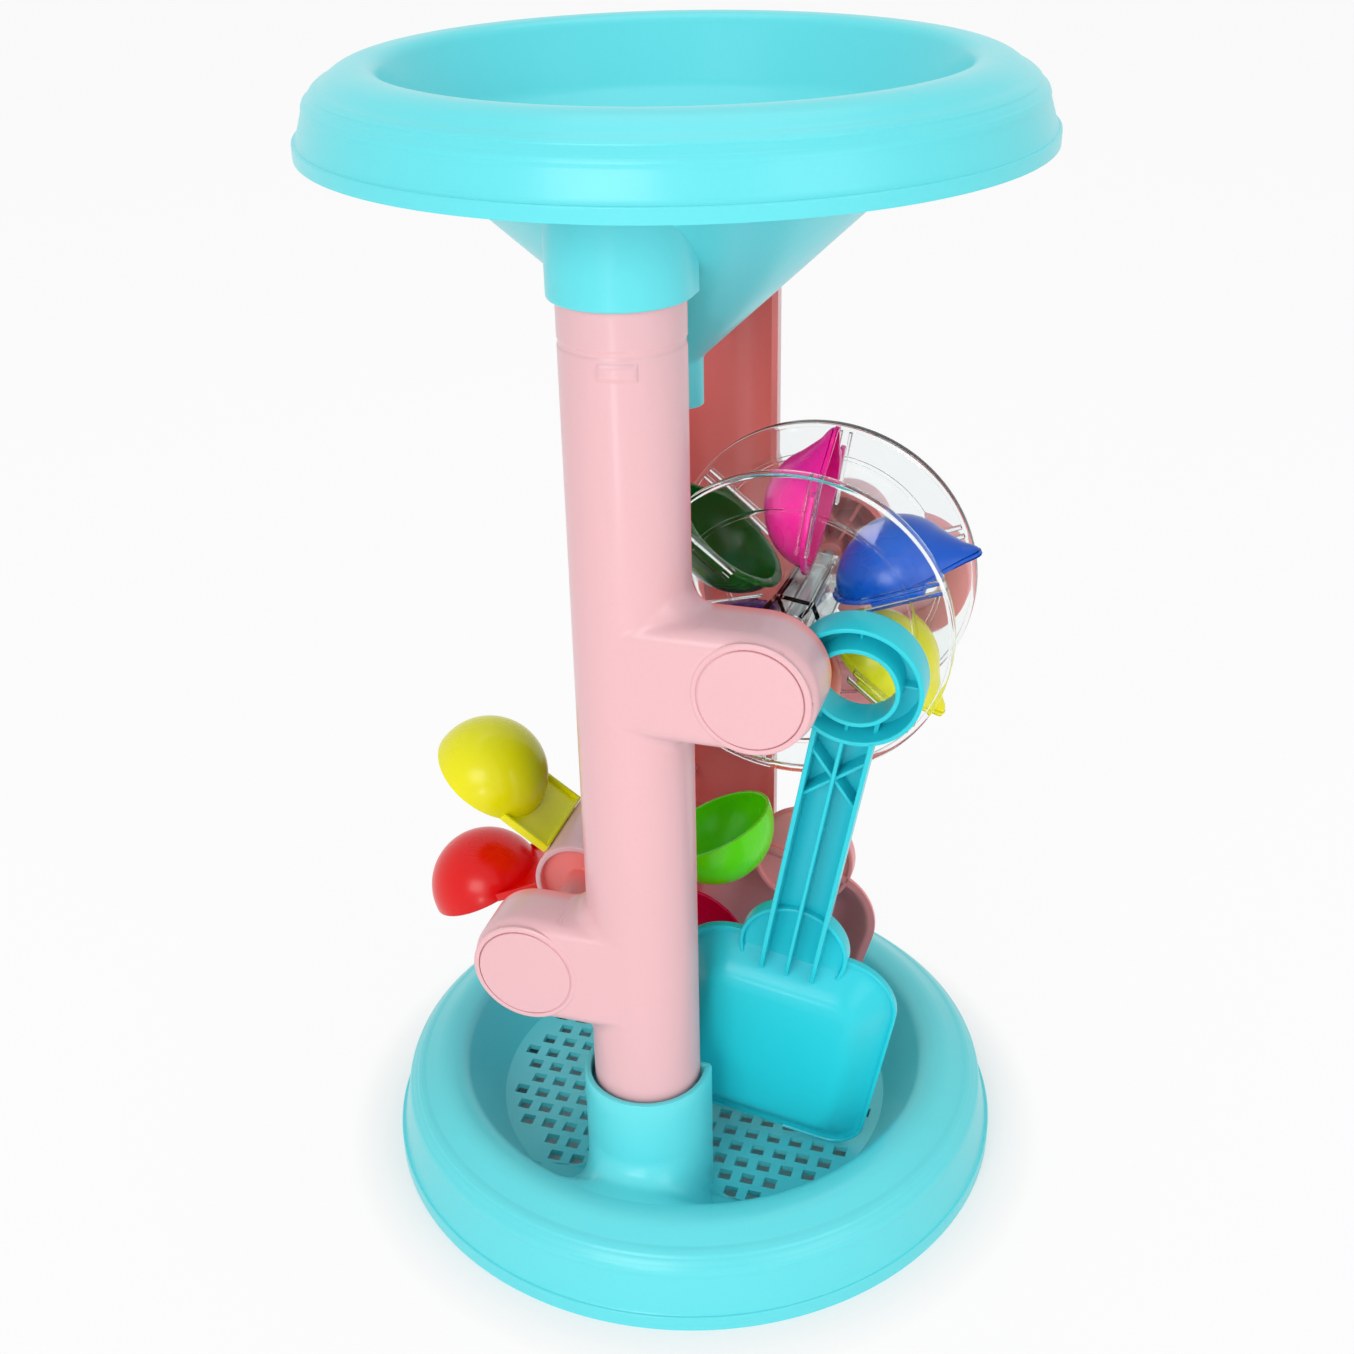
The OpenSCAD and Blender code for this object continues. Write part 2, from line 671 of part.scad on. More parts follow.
// Handle: a channel with a middle rib and crossed ribs, open at the front
module handle() {
    low = blade_h * handle_low_share;
    top = ring_up - (ring_r + ring_hole_r) / 2;
    translate([-handle_w / 2, -grip_d, low]) difference() {
        cube([handle_w, grip_d - back_in, top - low]);
        translate([tool_t, -over, -over])
            cube([handle_w - 2 * tool_t, grip_d - back_in - tool_t + over, top - low + 2 * over]);
    }
    translate([-tool_t / 2, -grip_d, low]) cube([tool_t, grip_d - back_in, top - low]);
    cross_mid = ring_up - cross_drop;
    cross_w = handle_w - tool_t;
    for (side = [-1, 1])
        translate([0, -grip_d / 2 - back_in, cross_mid])
            rotate([0, side * atan2(cross_w, cross_l), 0])
                translate([-tool_t / 2, 0, -norm([cross_w, cross_l]) / 2])
                    cube([tool_t, grip_d / 2, norm([cross_w, cross_l])]);
}

// Ring grip: a round channel, open at the front
module ring_grip() translate([0, 0, ring_up]) rotate([90, 0, 0]) rotate_extrude() {
    translate([ring_r - tool_t, back_in]) square([tool_t, grip_d - back_in]);
    translate([ring_hole_r, back_in]) square([tool_t, grip_d - back_in]);
    translate([ring_hole_r, back_in]) square([ring_r - ring_hole_r, tool_t]);
}

// Round hump where the handle meets a head
module hump(t) translate([0, t - back_in / 2, blade_h - hump_r + hump_up]) rotate([90, 0, 0])
    cylinder(r = hump_r - t, h = hump_d);

module tool_body(width) {
    difference() {
        union() {
            head_rim(width, 0, tool_t);
            head_belly(width, 0);
            hump(0);
            translate([-handle_w / 2, -hump_d, blade_h - hump_r]) cube([handle_w, hump_d, hump_r]);
        }
        head_belly(width, tool_t);
        translate([0, tool_t, 0]) hump(tool_t);
    }
    difference() {
        union() {
            handle();
            ring_grip();
        }
        head_belly(width, tool_t / 2);
    }
}

module shovel() color([0.2, 0.82, 0.86]) tool_place(shovel_x, shovel_lean, blade_w)
    tool_body(blade_w);

module rake() color([0.9, 0.5, 0.56]) mirror([0, 1, 0]) tool_place(rake_x, rake_lean, rake_w)
    difference() {
        tool_body(rake_w);
        for (i = [0:rake_slots - 1])
            translate([(i - (rake_slots - 1) / 2) * rake_w / (rake_slots + 1) - slot_w / 2,
                       -dish_d - over, -over])
                cube([slot_w, dish_d + 2 * over, slot_h]);
    }

base_tray();
hopper();
front_post();
back_post();
upper_axle();
lower_axle();
upper_cap_front();
upper_cap_back();
lower_cap_front();
lower_cap_back();
upper_disc_front();
upper_disc_back();
upper_hub();
upper_cup_blue();
upper_cup_magenta();
upper_cup_green();
upper_cup_purple();
upper_cup_orange();
upper_cup_yellow();
lower_hub();
lower_scoop_lime();
lower_scoop_teal();
lower_scoop_yellow();
lower_scoop_red();
lower_scoop_violet();
lower_scoop_crimson();
shovel();
rake();
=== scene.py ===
"""Looks of a sand wheel toy: a round tray and a funnel hopper on two posts, two wheels of coloured
cups, and a shovel and a rake that stand in the tray.

Lengths in the shape functions are millimetres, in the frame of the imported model: +Z up, the floor
at z = 0, the front post at -Y. Every piece is turned into metres when its mesh is made.
"""

from math import atan2, cos, hypot, pi, radians, sin, sqrt, tan

import bmesh
import bpy
import numpy as np
from bpy.props import FloatProperty, FloatVectorProperty, PointerProperty
from mathutils import Matrix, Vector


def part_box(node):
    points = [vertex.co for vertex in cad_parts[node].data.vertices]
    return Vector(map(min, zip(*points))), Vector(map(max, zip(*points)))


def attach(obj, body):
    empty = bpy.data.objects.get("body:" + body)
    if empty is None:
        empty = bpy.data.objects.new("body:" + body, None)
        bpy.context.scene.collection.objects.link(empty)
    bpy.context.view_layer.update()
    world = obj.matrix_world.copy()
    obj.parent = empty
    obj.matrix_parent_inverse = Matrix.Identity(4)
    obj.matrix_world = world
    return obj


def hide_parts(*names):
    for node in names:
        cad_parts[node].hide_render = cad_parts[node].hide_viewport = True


bl_info = {
    "name": "Sand wheel toy",
    "version": (1, 0, 0),
    "blender": (4, 5, 0),
    "location": "3D View > Sidebar > Sand wheel",
    "description": "Builds the looks of a sand wheel toy around its packed parts",
    "category": "Object",
}

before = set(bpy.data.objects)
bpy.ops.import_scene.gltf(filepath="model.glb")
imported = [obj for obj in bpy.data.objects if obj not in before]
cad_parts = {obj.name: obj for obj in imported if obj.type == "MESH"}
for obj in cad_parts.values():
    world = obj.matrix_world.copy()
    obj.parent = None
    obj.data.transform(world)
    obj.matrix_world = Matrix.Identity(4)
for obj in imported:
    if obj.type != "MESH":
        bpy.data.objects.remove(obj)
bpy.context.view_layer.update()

MM = 0.001
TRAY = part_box("base_tray")
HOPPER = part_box("hopper")

# Rims of the tray and the hopper. A step is how far the wall sits in above the lip. A band is a low
# raised strip, given by where it starts and ends along the rim's outer line from its foot.
WALL = 2.2
LIP_STEP = 1.2
LIP_ROUNDS = (0.0, 0.5, 0.3)
BAND_UP = 0.35
TRAY_BANDS = ((22.0, 25.5), (29.0, 32.0))
HOPPER_BANDS = ((14.5, 17.0), (20.0, 23.0))
TRAY_LIP_Z = 6.0
TRAY_SHOULDER = (5.5, 25.0)
TRAY_CREST = (99.0, 34.0)
WELL_EDGE = (91.0, 32.8)
TRAY_SHOULDER_ROUND = 9.0
CREST_ROUND = 12.0
WELL_ROUND = 6.0
HOPPER_LIP_Z = (385.5, 390.0)
HOPPER_SHOULDER = (5.0, 402.0)
HOPPER_CREST = (17.0, 411.0)
HOPPER_MOUTH = (26.0, 409.5)
HOPPER_ROUNDS = (8.0, 14.0, 5.0, 8.0, 6.0)
CONE_TOP = (81.0, 388.0)
CONE_FOOT = (5.4, 317.0)
NOZZLE_Z = 300.0

# Sieve floor
FLOOR_Z = 10.0
FLOOR_T = 2.4
FLOOR_R = 77.0
FLOOR_MARGIN = 6.0
FLOOR_LAP = 0.9
HOLE = 5.0
HOLE_STEP = (8.8, 8.0)

# Posts, with the collars that hold them
POST_Y = 57.4
POST_R = 19.2
POST_LEG = 3.0
POST_DEPTH = POST_R + POST_LEG
POST_BACK = POST_Y - POST_LEG
POST_FACE = POST_BACK + POST_DEPTH
SHOULDER_Z = 58.0
COLLAR_OUT = 3.8
COLLAR_T = 2.3
COLLAR_SEAT = 4.2
COLLAR_TOP = 66.0
COLLAR_EDGE = 0.6
COLLAR_CORNER = 2.0
WEB_R = 20.0
WEB_FILLET = 6.0
WEB_T = 1.0
WEB_TURN = 118.0
HOPPER_FIT = 0.25
HOPPER_COLLAR_Z = 352.0
NECK_ROUND = 4.0
NECK_IN = 1.8
GROOVE_Z = 339.0
GROOVE_D = 0.35
PLATE_Z = 331.2
PLATE_H = 5.6
PLATE_UP = 0.55
PLATE_TURN = (-0.09, 0.56)
BEND_Z = 350.0
POST_TOP = 389.5
ARM_R = 20.5
ARM_ROUND = 6.0
ARM_FILLET = 8.0
ARM_BAND = 6.6
ARM_WALL = 2.2
BOSS_R = 7.5
ARM_RIB_T = 1.6
CAP_R = 17.2
CAP_RING = 1.9

# Upper wheel
UPPER_AXLE = (43.7, 234.19)
UPPER_TURN = 21.0
CUPS = 6
DISC_R = 54.4
DISC_HALF = 24.6
DISC_T = 1.6
DISC_STEP = (41.0, 42.4, 0.8)
BEAD_W = 1.6
DISC_RIB_FROM = 26.0
CUP_R = 20.0
CUP_MID = 34.0
CUP_TIP = 62.5
CUP_T = 1.5
CUP_RIM = 1.8
CUP_SEAT = (-5.0, 13.0)
WHEEL_ROUGHNESS = 0.28
SPOUT_R = 4.2
SPOUT_FROM = 43.0
FLANGE_T = 1.8

# Lower wheel
LOWER_AXLE = (-37.5, 114.01)
LOWER_TURN = 25.0
SCOOP_R = 22.5
SCOOP_MID = 52.0
NECK_W = 37.0
NECK_DEEP = 3.4
NECK_END = 13.6
TONGUE = (26.0, 3.6)
DRUM_R = 17.3
DRUM_HALF = 22.0
DRUM_WALL = 2.2
DRUM_DEEP = 4.0
SLEEVE_R = 5.1
SLEEVE_HALF = 54.1
AXLE_R = 3.5

# Shovel and rake
TOOL_T = 1.6
RING_R = 22.0
RING_HOLE_R = 13.0
RING_UP = 219.0
GRIP_D = 14.0
HANDLE_W = 20.5
HANDLE_BACK = 2.0
BLADE_W = 84.0
RAKE_W = 73.0
BLADE_H = 95.0
DISH_D = 14.0
FLANGE_W = 3.0
HEAD_WALL = 11.0
TOE_WALL = 7.0
TOE_H = 30.0
TOP_ROUND = 22.0
FOOT_ROUND = 14.0
TOOL_TILT = 5.2
TOOL_Y = 18.2
SHOVEL_X = 30.3
SHOVEL_LEAN = 10.7
RAKE_X = 11.5
RAKE_LEAN = 16.0
HUMP_R = 20.0
HUMP_D = 6.0
CROSS_DROP = 40.0
CROSS_L = 20.0
RIB_T = 1.3
RING_RIBS = (5.0, 98.0, 188.0)
TOOL_ROUGHNESS = 0.34
RAKE_SLOTS = 5
SLOT_W = 6.0
SLOT_H = 36.0

UPPER_COLOURS = ("blue", "magenta", "green", "purple", "orange", "yellow")
LOWER_COLOURS = ("lime", "teal", "yellow", "red", "violet", "crimson")

# Studio, in metres and watts. A lamp is its name, place, width, height and power.
CAMERA_PLACE = (0.160719, -0.520046, 0.486685)
CAMERA_TURN = (0.489, -0.306, -0.022)
LAMPS = (("key", (-0.15, -1.7, 0.95), 0.9, 0.7, 10.0), ("fill", (1.4, -0.9, 0.7), 1.0, 1.0, 4.5),
         ("top", (0.0, 0.3, 1.9), 1.2, 1.2, 5.5), ("low", (0.02, -0.7, 0.1), 0.09, 0.1, 0.3))
LAMPS_FACE = (0.0, 0.0, 0.2)
FLOOR_HALF = 6.0
SHADE_R = (0.1, 0.14)
SHADE_KEPT = 0.12
WHITE = 0.97


# Sizes and colours

def colour(name, text, default):
    """A colour setting."""
    return FloatVectorProperty(name=name, description=text, default=default, size=3, min=0, max=1,
                               subtype="COLOR")


def length(name, text, default):
    """A length setting, in metres."""
    return FloatProperty(name=name, description=text, default=default, min=0.0001, unit="LENGTH",
                         precision=4)


class ShellSettings(bpy.types.PropertyGroup):
    """Tray and hopper."""
    tray_radius: length("Tray radius", "Radius of the tray at its lip", TRAY[1].x)
    hopper_radius: length("Hopper radius", "Radius of the hopper at its lip", HOPPER[1].x)
    aqua: colour("Aqua", "Plastic of the tray and the hopper", (0.13, 0.73, 0.79))


class PostSettings(bpy.types.PropertyGroup):
    """Posts, their arms and caps."""
    cap_proud: length("Cap height", "How far a cap stands out of its arm", 0.0006)
    pink: colour("Pink", "Plastic of the posts", (0.82, 0.48, 0.51))
    # Deep pink is painted shade: a redder pink laid on the posts' inner side and the drum's hollow
    # ends, for shade and for light come through the pink wall.
    deep: colour("Deep pink", "Plastic of the posts on their inner side", (1.0, 0.26, 0.24))
    pin: colour("Pin", "Plastic of the two axle pins", (0.75, 0.74, 0.72))


class WheelSettings(bpy.types.PropertyGroup):
    """Discs, cups and scoops."""
    bead: length("Disc bead", "Depth of the bead round a clear disc", 0.0024)
    clear: colour("Clear", "Tint of the clear plastic", (0.93, 0.96, 0.96))
    blue: colour("Blue", "Plastic of the blue cup", (0.0, 0.085, 0.52))
    magenta: colour("Magenta", "Plastic of the magenta cup", (0.93, 0.005, 0.3))
    green: colour("Green", "Plastic of the green cup", (0.0, 0.14, 0.012))
    purple: colour("Purple", "Plastic of the purple cup", (0.12, 0.02, 0.24))
    orange: colour("Orange", "Plastic of the orange cup", (0.9, 0.1, 0.02))
    yellow: colour("Yellow", "Plastic of the yellow cup and scoop", (0.88, 0.82, 0.0))
    lime: colour("Lime", "Plastic of the lime scoop", (0.15, 0.95, 0.0))
    teal: colour("Teal", "Plastic of the teal scoop", (0.0, 0.27, 0.45))
    red: colour("Red", "Plastic of the red scoop", (0.8, 0.0, 0.0))
    violet: colour("Violet", "Plastic of the violet scoop", (0.16, 0.03, 0.4))
    crimson: colour("Crimson", "Plastic of the crimson scoop", (0.85, 0.0, 0.07))


class ToolSettings(bpy.types.PropertyGroup):
    """Shovel and rake."""
    lip: length("Rim lip", "Height of the lip round a blade", 0.0012)
    cyan: colour("Cyan", "Plastic of the shovel", (0.02, 0.64, 0.74))
    rose: colour("Rose", "Plastic of the rake", (0.9, 0.31, 0.33))


class StudioSettings(bpy.types.PropertyGroup):
    """Camera, floor and lights."""
    focal: FloatProperty(name="Focal length", default=45.69, min=10, max=200,
                         description="Focal length in millimetres on a 36 mm wide sensor")
    floor: colour("Floor", "Colour of the floor", (0.9, 0.9, 0.9))
    light: FloatProperty(name="Light", description="Strength of the lamps", default=1.0, min=0,
                         max=10)
    surround: FloatProperty(name="Surround", description="Strength of the light from all round",
                            default=0.62, min=0, max=2)


# Lines

def arc(centre, radius, start, end, steps):
    """Points of a circle's arc from one angle to another, in degrees."""
    a = np.radians(np.linspace(start, end, steps))
    return np.stack([centre[0] + radius * np.cos(a), centre[1] + radius * np.sin(a)], 1)


def unit(v):
    """The same direction with length one."""
    return v / np.linalg.norm(v)


def rounded(points, radii, steps=9):
    """A path with each corner replaced by an arc of its radius that touches both sides."""
    points = [np.array(p, float) for p in points]
    out = []
    for i, (p, r) in enumerate(zip(points, radii)):
        if r <= 0:
            out.append(p[None])
            continue
        u, w = unit(points[i - 1] - p), unit(points[(i + 1) % len(points)] - p)
        half = np.arccos(np.clip(u @ w, -1, 1)) / 2
        centre = p + unit(u + w) * r / sin(half)
        a, b = p + u * r / tan(half) - centre, p + w * r / tan(half) - centre
        start = atan2(a[1], a[0])
        sweep = (atan2(b[1], b[0]) - start + pi) % (2 * pi) - pi
        t = start + sweep * np.linspace(0, 1, steps)
        out.append(centre + r * np.stack([np.cos(t), np.sin(t)], 1))
    return np.vstack(out)


def refined(path, spacing):
    """The same line with more points: its own corners, and even steps along its length."""
    s = np.concatenate([[0], np.cumsum(np.linalg.norm(np.diff(path, axis=0), axis=1))])
    t = np.union1d(np.linspace(0, s[-1], max(int(s[-1] / spacing), 2)), s)
    t = t[np.concatenate([[True], np.diff(t) > spacing * 0.08])]
    return np.stack([np.interp(t, s, path[:, 0]), np.interp(t, s, path[:, 1])], 1), t


def sides(path):
    """Unit normals on the left of a line, from the slope between neighbours."""
    d = np.gradient(path, axis=0)
    d /= np.maximum(np.linalg.norm(d, axis=1), 1e-9)[:, None]
    return np.stack([-d[:, 1], d[:, 0]], 1)


def smoothstep(x):
    """Soft step from 0 to 1: 3 x^2 - 2 x^3."""
    x = np.clip(x, 0, 1)
    return x * x * (3 - 2 * x)


# Surfaces: each part of a piece is a pair of points and four-sided faces

def sheet(grid, wrap_rows=False, wrap_columns=False):
    """Faces between the neighbours of a grid of points."""
    n, m = grid.shape[:2]
    index = np.arange(n * m).reshape(n, m)
    if wrap_rows:
        index = np.vstack([index, index[:1]])
    if wrap_columns:
        index = np.hstack([index, index[:, :1]])
    corners = index[:-1, :-1], index[1:, :-1], index[1:, 1:], index[:-1, 1:]
    quads = np.stack(corners, -1).reshape(-1, 4)
    return grid.reshape(-1, 3), quads


def slab(front, back):
    """A closed wall between two grids of the same size: both faces and the strips round their
    edges."""
    around = np.concatenate([front, back[:, ::-1]], axis=1)
    ends = [sheet(np.stack([front[k], back[k]])) for k in (0, -1)]
    return [sheet(around, wrap_columns=True)] + ends


def block(low, high, soft=0.3):
    """A box with soft edges: each face of a cube grid drawn in towards the edges by a small
    radius."""
    low, high = np.array(low, float), np.array(high, float)
    r = min(soft, *(0.45 * (high - low)))
    a = np.radians([-90, -45, 0, 0, 45, 90])
    up, out = np.sin(a) * r, np.cos(a) * r
    near, far = low + r, high - r
    z = np.where(np.arange(6) < 3, near[2], far[2]) + up
    ring = np.radians([180, 225, 270, 270, 315, 360, 0, 45, 90, 90, 135, 180])
    corner_x = np.repeat([near[0], far[0], far[0], near[0]], 3)
    corner_y = np.repeat([near[1], near[1], far[1], far[1]], 3)
    x = corner_x + out[:, None] * np.cos(ring)
    y = corner_y + out[:, None] * np.sin(ring)
    grid = np.stack([x, y, np.broadcast_to(z[:, None], x.shape)], -1)
    caps = [sheet(np.stack([grid[k, :6], grid[k, :5:-1]])) for k in (0, -1)]
    return [sheet(grid, wrap_columns=True)] + caps


def lathe(profile, turns=128, axis="z", centre=(0.0, 0.0)):
    """A closed profile of (radius, height) points carried once round an axis through the centre."""
    a = np.radians(np.linspace(0, 360, turns, endpoint=False))
    u, v = centre[0] + profile[:, :1] * np.cos(a), centre[1] + profile[:, :1] * np.sin(a)
    h = np.broadcast_to(profile[:, 1:], u.shape)
    grid = np.stack([u, v, h] if axis == "z" else [u, h, v], -1)
    return sheet(grid, wrap_rows=True, wrap_columns=True)


def moved(parts, change):
    """The same parts with every point put through a function."""
    return [(change(points), quads) for points, quads in parts]


def turned(parts, angle, middle):
    """The same parts turned by an angle in the plane of X and Z, then moved out to a middle point
    there."""
    c, s = cos(angle), sin(angle)
    return moved(parts, lambda p: np.stack([middle[0] + p[:, 0] * c - p[:, 2] * s, p[:, 1],
                                            middle[1] + p[:, 0] * s + p[:, 2] * c], 1))


def spoke(axle, angle):
    """Places points of the wheel frame: x along the axle, y with the turn, z out from the axle."""
    out = np.array([cos(radians(angle)), 0, sin(radians(angle))])
    turn = np.array([-sin(radians(angle)), 0, cos(radians(angle))])
    middle = np.array([axle[0], 0, axle[1]])
    return lambda p: middle + p[:, 2:] * out + p[:, 1:2] * turn + p[:, :1] * np.array([0, 1.0, 0])


def flipped(points):
    """The same points on the other side of the plane y = 0."""
    return points * np.array([1, -1.0, 1])


def piece(name, parts, material, body, nodes, crisp=38, inner=None):
    """One object from its parts: doubles merged, faces turned outwards, smooth but for crisp edges.
    The function inner gives the share of painted shade, the inner side's deeper colour, at points
    with their normals."""
    points, faces, base = [], [], 0
    for p, q in parts:
        points.append(p)
        faces.append(q + base)
        base += len(p)
    points, faces = np.vstack(points) * MM, np.vstack(faces)
    mesh = bpy.data.meshes.new(name)
    mesh.from_pydata(points.tolist(), [], faces.tolist())
    bm = bmesh.new()
    bm.from_mesh(mesh)
    bmesh.ops.remove_doubles(bm, verts=bm.verts, dist=2e-6)
    bmesh.ops.dissolve_degenerate(bm, edges=bm.edges, dist=1e-6)
    bmesh.ops.recalc_face_normals(bm, faces=bm.faces)
    bm.to_mesh(mesh)
    bm.free()
    mesh.polygons.foreach_set("use_smooth", np.ones(len(mesh.polygons), bool))
    mesh.set_sharp_from_angle(angle=radians(crisp))
    mesh.materials.append(material)
    obj = bpy.data.objects.new(name, mesh)
    bpy.context.scene.collection.objects.link(obj)
    if inner:
        at, facing = np.empty((2, len(mesh.vertices), 3), np.float32)
        mesh.vertices.foreach_get("co", at.ravel())
        mesh.vertex_normals.foreach_get("vector", facing.ravel())
        # Painted shade: the share of the deep inner colour, kept on the points.
        share = mesh.attributes.new("inner", "FLOAT", "POINT")
        share.data.foreach_set("value", inner(at / MM, facing))
    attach(obj, body)
    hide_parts(*nodes)
    return obj


# Materials

def new_group(name, inputs, outputs):
    """An empty shader group with its sockets."""
    group = bpy.data.node_groups.new(name, "ShaderNodeTree")
    for label, kind, value in inputs:
        socket = group.interface.new_socket(name=label, in_out="INPUT", socket_type=kind)
        if value is not None:
            socket.default_value = value
    for label, kind in outputs:
        group.interface.new_socket(name=label, in_out="OUTPUT", socket_type=kind)
    return group, group.nodes.new("NodeGroupInput"), group.nodes.new("NodeGroupOutput")


def math_node(nodes, links, kind, a, b):
    """Output of a Math node on two sockets or numbers."""
    node = nodes.new("ShaderNodeMath")
    node.operation = kind
    for socket, value in zip(node.inputs, (a, b)):
        if isinstance(value, (int, float)):
            socket.default_value = value
        else:
            links.new(value, socket)
    return node.outputs[0]


def moulded_plastic_group():
    """Moulded plastic: slow changes of tone, fine specks, light scuffs and a faint waviness of the
    surface."""
    name = "Moulded plastic"
    if name in bpy.data.node_groups:
        return bpy.data.node_groups[name]
    number = "NodeSocketFloat"
    group, given, result = new_group(
        name,
        (("Colour", "NodeSocketColor", (0.5, 0.5, 0.5, 1)), ("Roughness", number, 0.3),
         ("Tone", number, 0.06), ("Scuffs", number, 0.08), ("Waves", number, 0.12)),
        (("Colour", "NodeSocketColor"), ("Roughness", number), ("Normal", "NodeSocketVector")))
    nodes, links = group.nodes, group.links
    place = nodes.new("ShaderNodeTexCoord")

    def combined(kind, a, b):
        return math_node(nodes, links, kind, a, b)

    def noise(scale, detail, stretch=None):
        node = nodes.new("ShaderNodeTexNoise")
        node.inputs["Scale"].default_value = scale
        node.inputs["Detail"].default_value = detail
        source = place.outputs["Object"]
        if stretch:
            mapping = nodes.new("ShaderNodeMapping")
            mapping.inputs["Scale"].default_value = stretch
            mapping.inputs["Rotation"].default_value = (0.5, 0.3, 0.4)
            links.new(source, mapping.inputs["Vector"])
            source = mapping.outputs["Vector"]
        links.new(source, node.inputs["Vector"])
        return node.outputs["Fac"]

    def swing(source, amount):
        return combined("MULTIPLY", combined("SUBTRACT", source, 0.5), amount)

    fine = noise(900, 2)
    value = combined("ADD", swing(noise(9, 3), given.outputs["Tone"]), swing(fine, 0.03))
    tone = nodes.new("ShaderNodeHueSaturation")
    links.new(given.outputs["Colour"], tone.inputs["Color"])
    links.new(combined("ADD", value, 1.0), tone.inputs["Value"])
    links.new(tone.outputs["Color"], result.inputs["Colour"])

    scratch = nodes.new("ShaderNodeMapRange")
    scratch.inputs["From Min"].default_value = 0.6
    scratch.inputs["From Max"].default_value = 0.75
    links.new(noise(60, 5, (1, 12, 3)), scratch.inputs["Value"])
    scuffs = combined("MULTIPLY", scratch.outputs["Result"], given.outputs["Scuffs"])
    haze = swing(noise(30, 3), 0.08)
    rough = combined("ADD", combined("ADD", scuffs, haze), given.outputs["Roughness"])
    links.new(rough, result.inputs["Roughness"])

    bump = nodes.new("ShaderNodeBump")
    bump.inputs["Distance"].default_value = 0.0006
    links.new(given.outputs["Waves"], bump.inputs["Strength"])
    height = combined("ADD", noise(45, 2), combined("MULTIPLY", fine, 0.03))
    links.new(height, bump.inputs["Height"])
    links.new(bump.outputs["Normal"], result.inputs["Normal"])
    return group


def moulded(name, tint, roughness):
    """A new material whose colour, roughness and normal come from the moulded plastic group."""
    mat = bpy.data.materials.new(name)
    mat.use_nodes = True
    mat.diffuse_color = (*tint, 1)
    nodes, links = mat.node_tree.nodes, mat.node_tree.links
    shader, group = nodes["Principled BSDF"], nodes.new("ShaderNodeGroup")
    group.node_tree = moulded_plastic_group()
    group.inputs["Colour"].default_value = (*tint, 1)
    group.inputs["Roughness"].default_value = roughness
    links.new(group.outputs["Colour"], shader.inputs["Base Color"])
    links.new(group.outputs["Roughness"], shader.inputs["Roughness"])
    links.new(group.outputs["Normal"], shader.inputs["Normal"])
    return mat, shader, group


def plastic(name, tint, roughness=0.3):
    """Opaque moulded plastic of one colour, with a thin gloss."""
    if name in bpy.data.materials:
        return bpy.data.materials[name]
    mat, shader, _ = moulded(name, tint, roughness)
    for socket, value in (("IOR", 1.49), ("Coat Weight", 0.1), ("Coat Roughness", 0.12),
                          ("Specular IOR Level", 0.35)):
        shader.inputs[socket].default_value = value
    return mat


def pink_plastic(tint, deep):
    """Pink moulded plastic with painted shade inside: its inner side is mixed to a deeper, redder
    pink that stands in for shade and for light that has come through a wall.
    """
    mat = plastic("Pink plastic", tint)
    nodes, links = mat.node_tree.nodes, mat.node_tree.links
    if "Inner side" not in nodes:
        group = next(node for node in nodes if node.type == "GROUP")
        # The inner share mixes the pink to the deep pink: painted shade on the inner side.
        share, mix = nodes.new("ShaderNodeAttribute"), nodes.new("ShaderNodeMix")
        share.attribute_name, share.name, mix.data_type = "inner", "Inner side", "RGBA"
        links.new(share.outputs["Fac"], mix.inputs["Factor"])
        mix.inputs["A"].default_value, mix.inputs["B"].default_value = (*tint, 1), (*deep, 1)
        links.new(mix.outputs["Result"], group.inputs["Colour"])
    return mat


def painted_shade_towards_middle(points, normals):
    """Share of painted shade: one on faces that look at the plane between the posts."""
    return smoothstep(-normals[:, 1] * np.sign(points[:, 1]) * 3)


def painted_shade_in_drum(points, normals):
    """Share of painted shade: one on the hollow ends of the drum."""
    r = np.hypot(points[:, 0] - LOWER_AXLE[0], points[:, 2] - LOWER_AXLE[1])
    hollow = (r > SLEEVE_R - 0.1) & (r < DRUM_R - DRUM_WALL + 0.3)
    return (hollow & (np.abs(points[:, 1]) < DRUM_HALF - 0.4)).astype(np.float32)


def clear_plastic(tint):
    """Clear plastic: glass with faint ripples and scuffs, that lets the lamps' light through."""
    name = "Clear plastic"
    if name in bpy.data.materials:
        return bpy.data.materials[name]
    mat, shader, group = moulded(name, tint, 0.04)
    group.inputs["Scuffs"].default_value = 0.12
    group.inputs["Waves"].default_value = 0.05
    shader.inputs["Transmission Weight"].default_value = 1.0
    shader.inputs["IOR"].default_value = 1.3
    nodes, links = mat.node_tree.nodes, mat.node_tree.links
    through = nodes.new("ShaderNodeBsdfTransparent")
    through.inputs["Color"].default_value = (0.9, 0.92, 0.92, 1)
    path, mix = nodes.new("ShaderNodeLightPath"), nodes.new("ShaderNodeMixShader")
    links.new(path.outputs["Is Shadow Ray"], mix.inputs[0])
    links.new(shader.outputs[0], mix.inputs[1])
    links.new(through.outputs[0], mix.inputs[2])
    links.new(mix.outputs[0], nodes["Material Output"].inputs["Surface"])
    return mat


# Tray and hopper

def banded(path, t, low, high):
    """Raises a band of a line by a small step, with soft ends, along its normals away from the
    wall."""
    soft = 0.5
    lift = BAND_UP * (smoothstep((t - low) / soft) - smoothstep((t - high) / soft))
    return path - sides(path) * lift[:, None]


def shell_profile(points, radii, bands):
    """Closed profile of a moulded wall: its outer line, refined and banded, and the same line moved
    in."""
    line = rounded(points, radii)
    outer, t = refined(line, 0.8)
    for low, high in bands:
        outer = banded(outer, t, low, high)
    plain, _ = refined(line, 3.0)
    inner = plain + sides(plain) * WALL
    return np.vstack([outer, inner[::-1]])


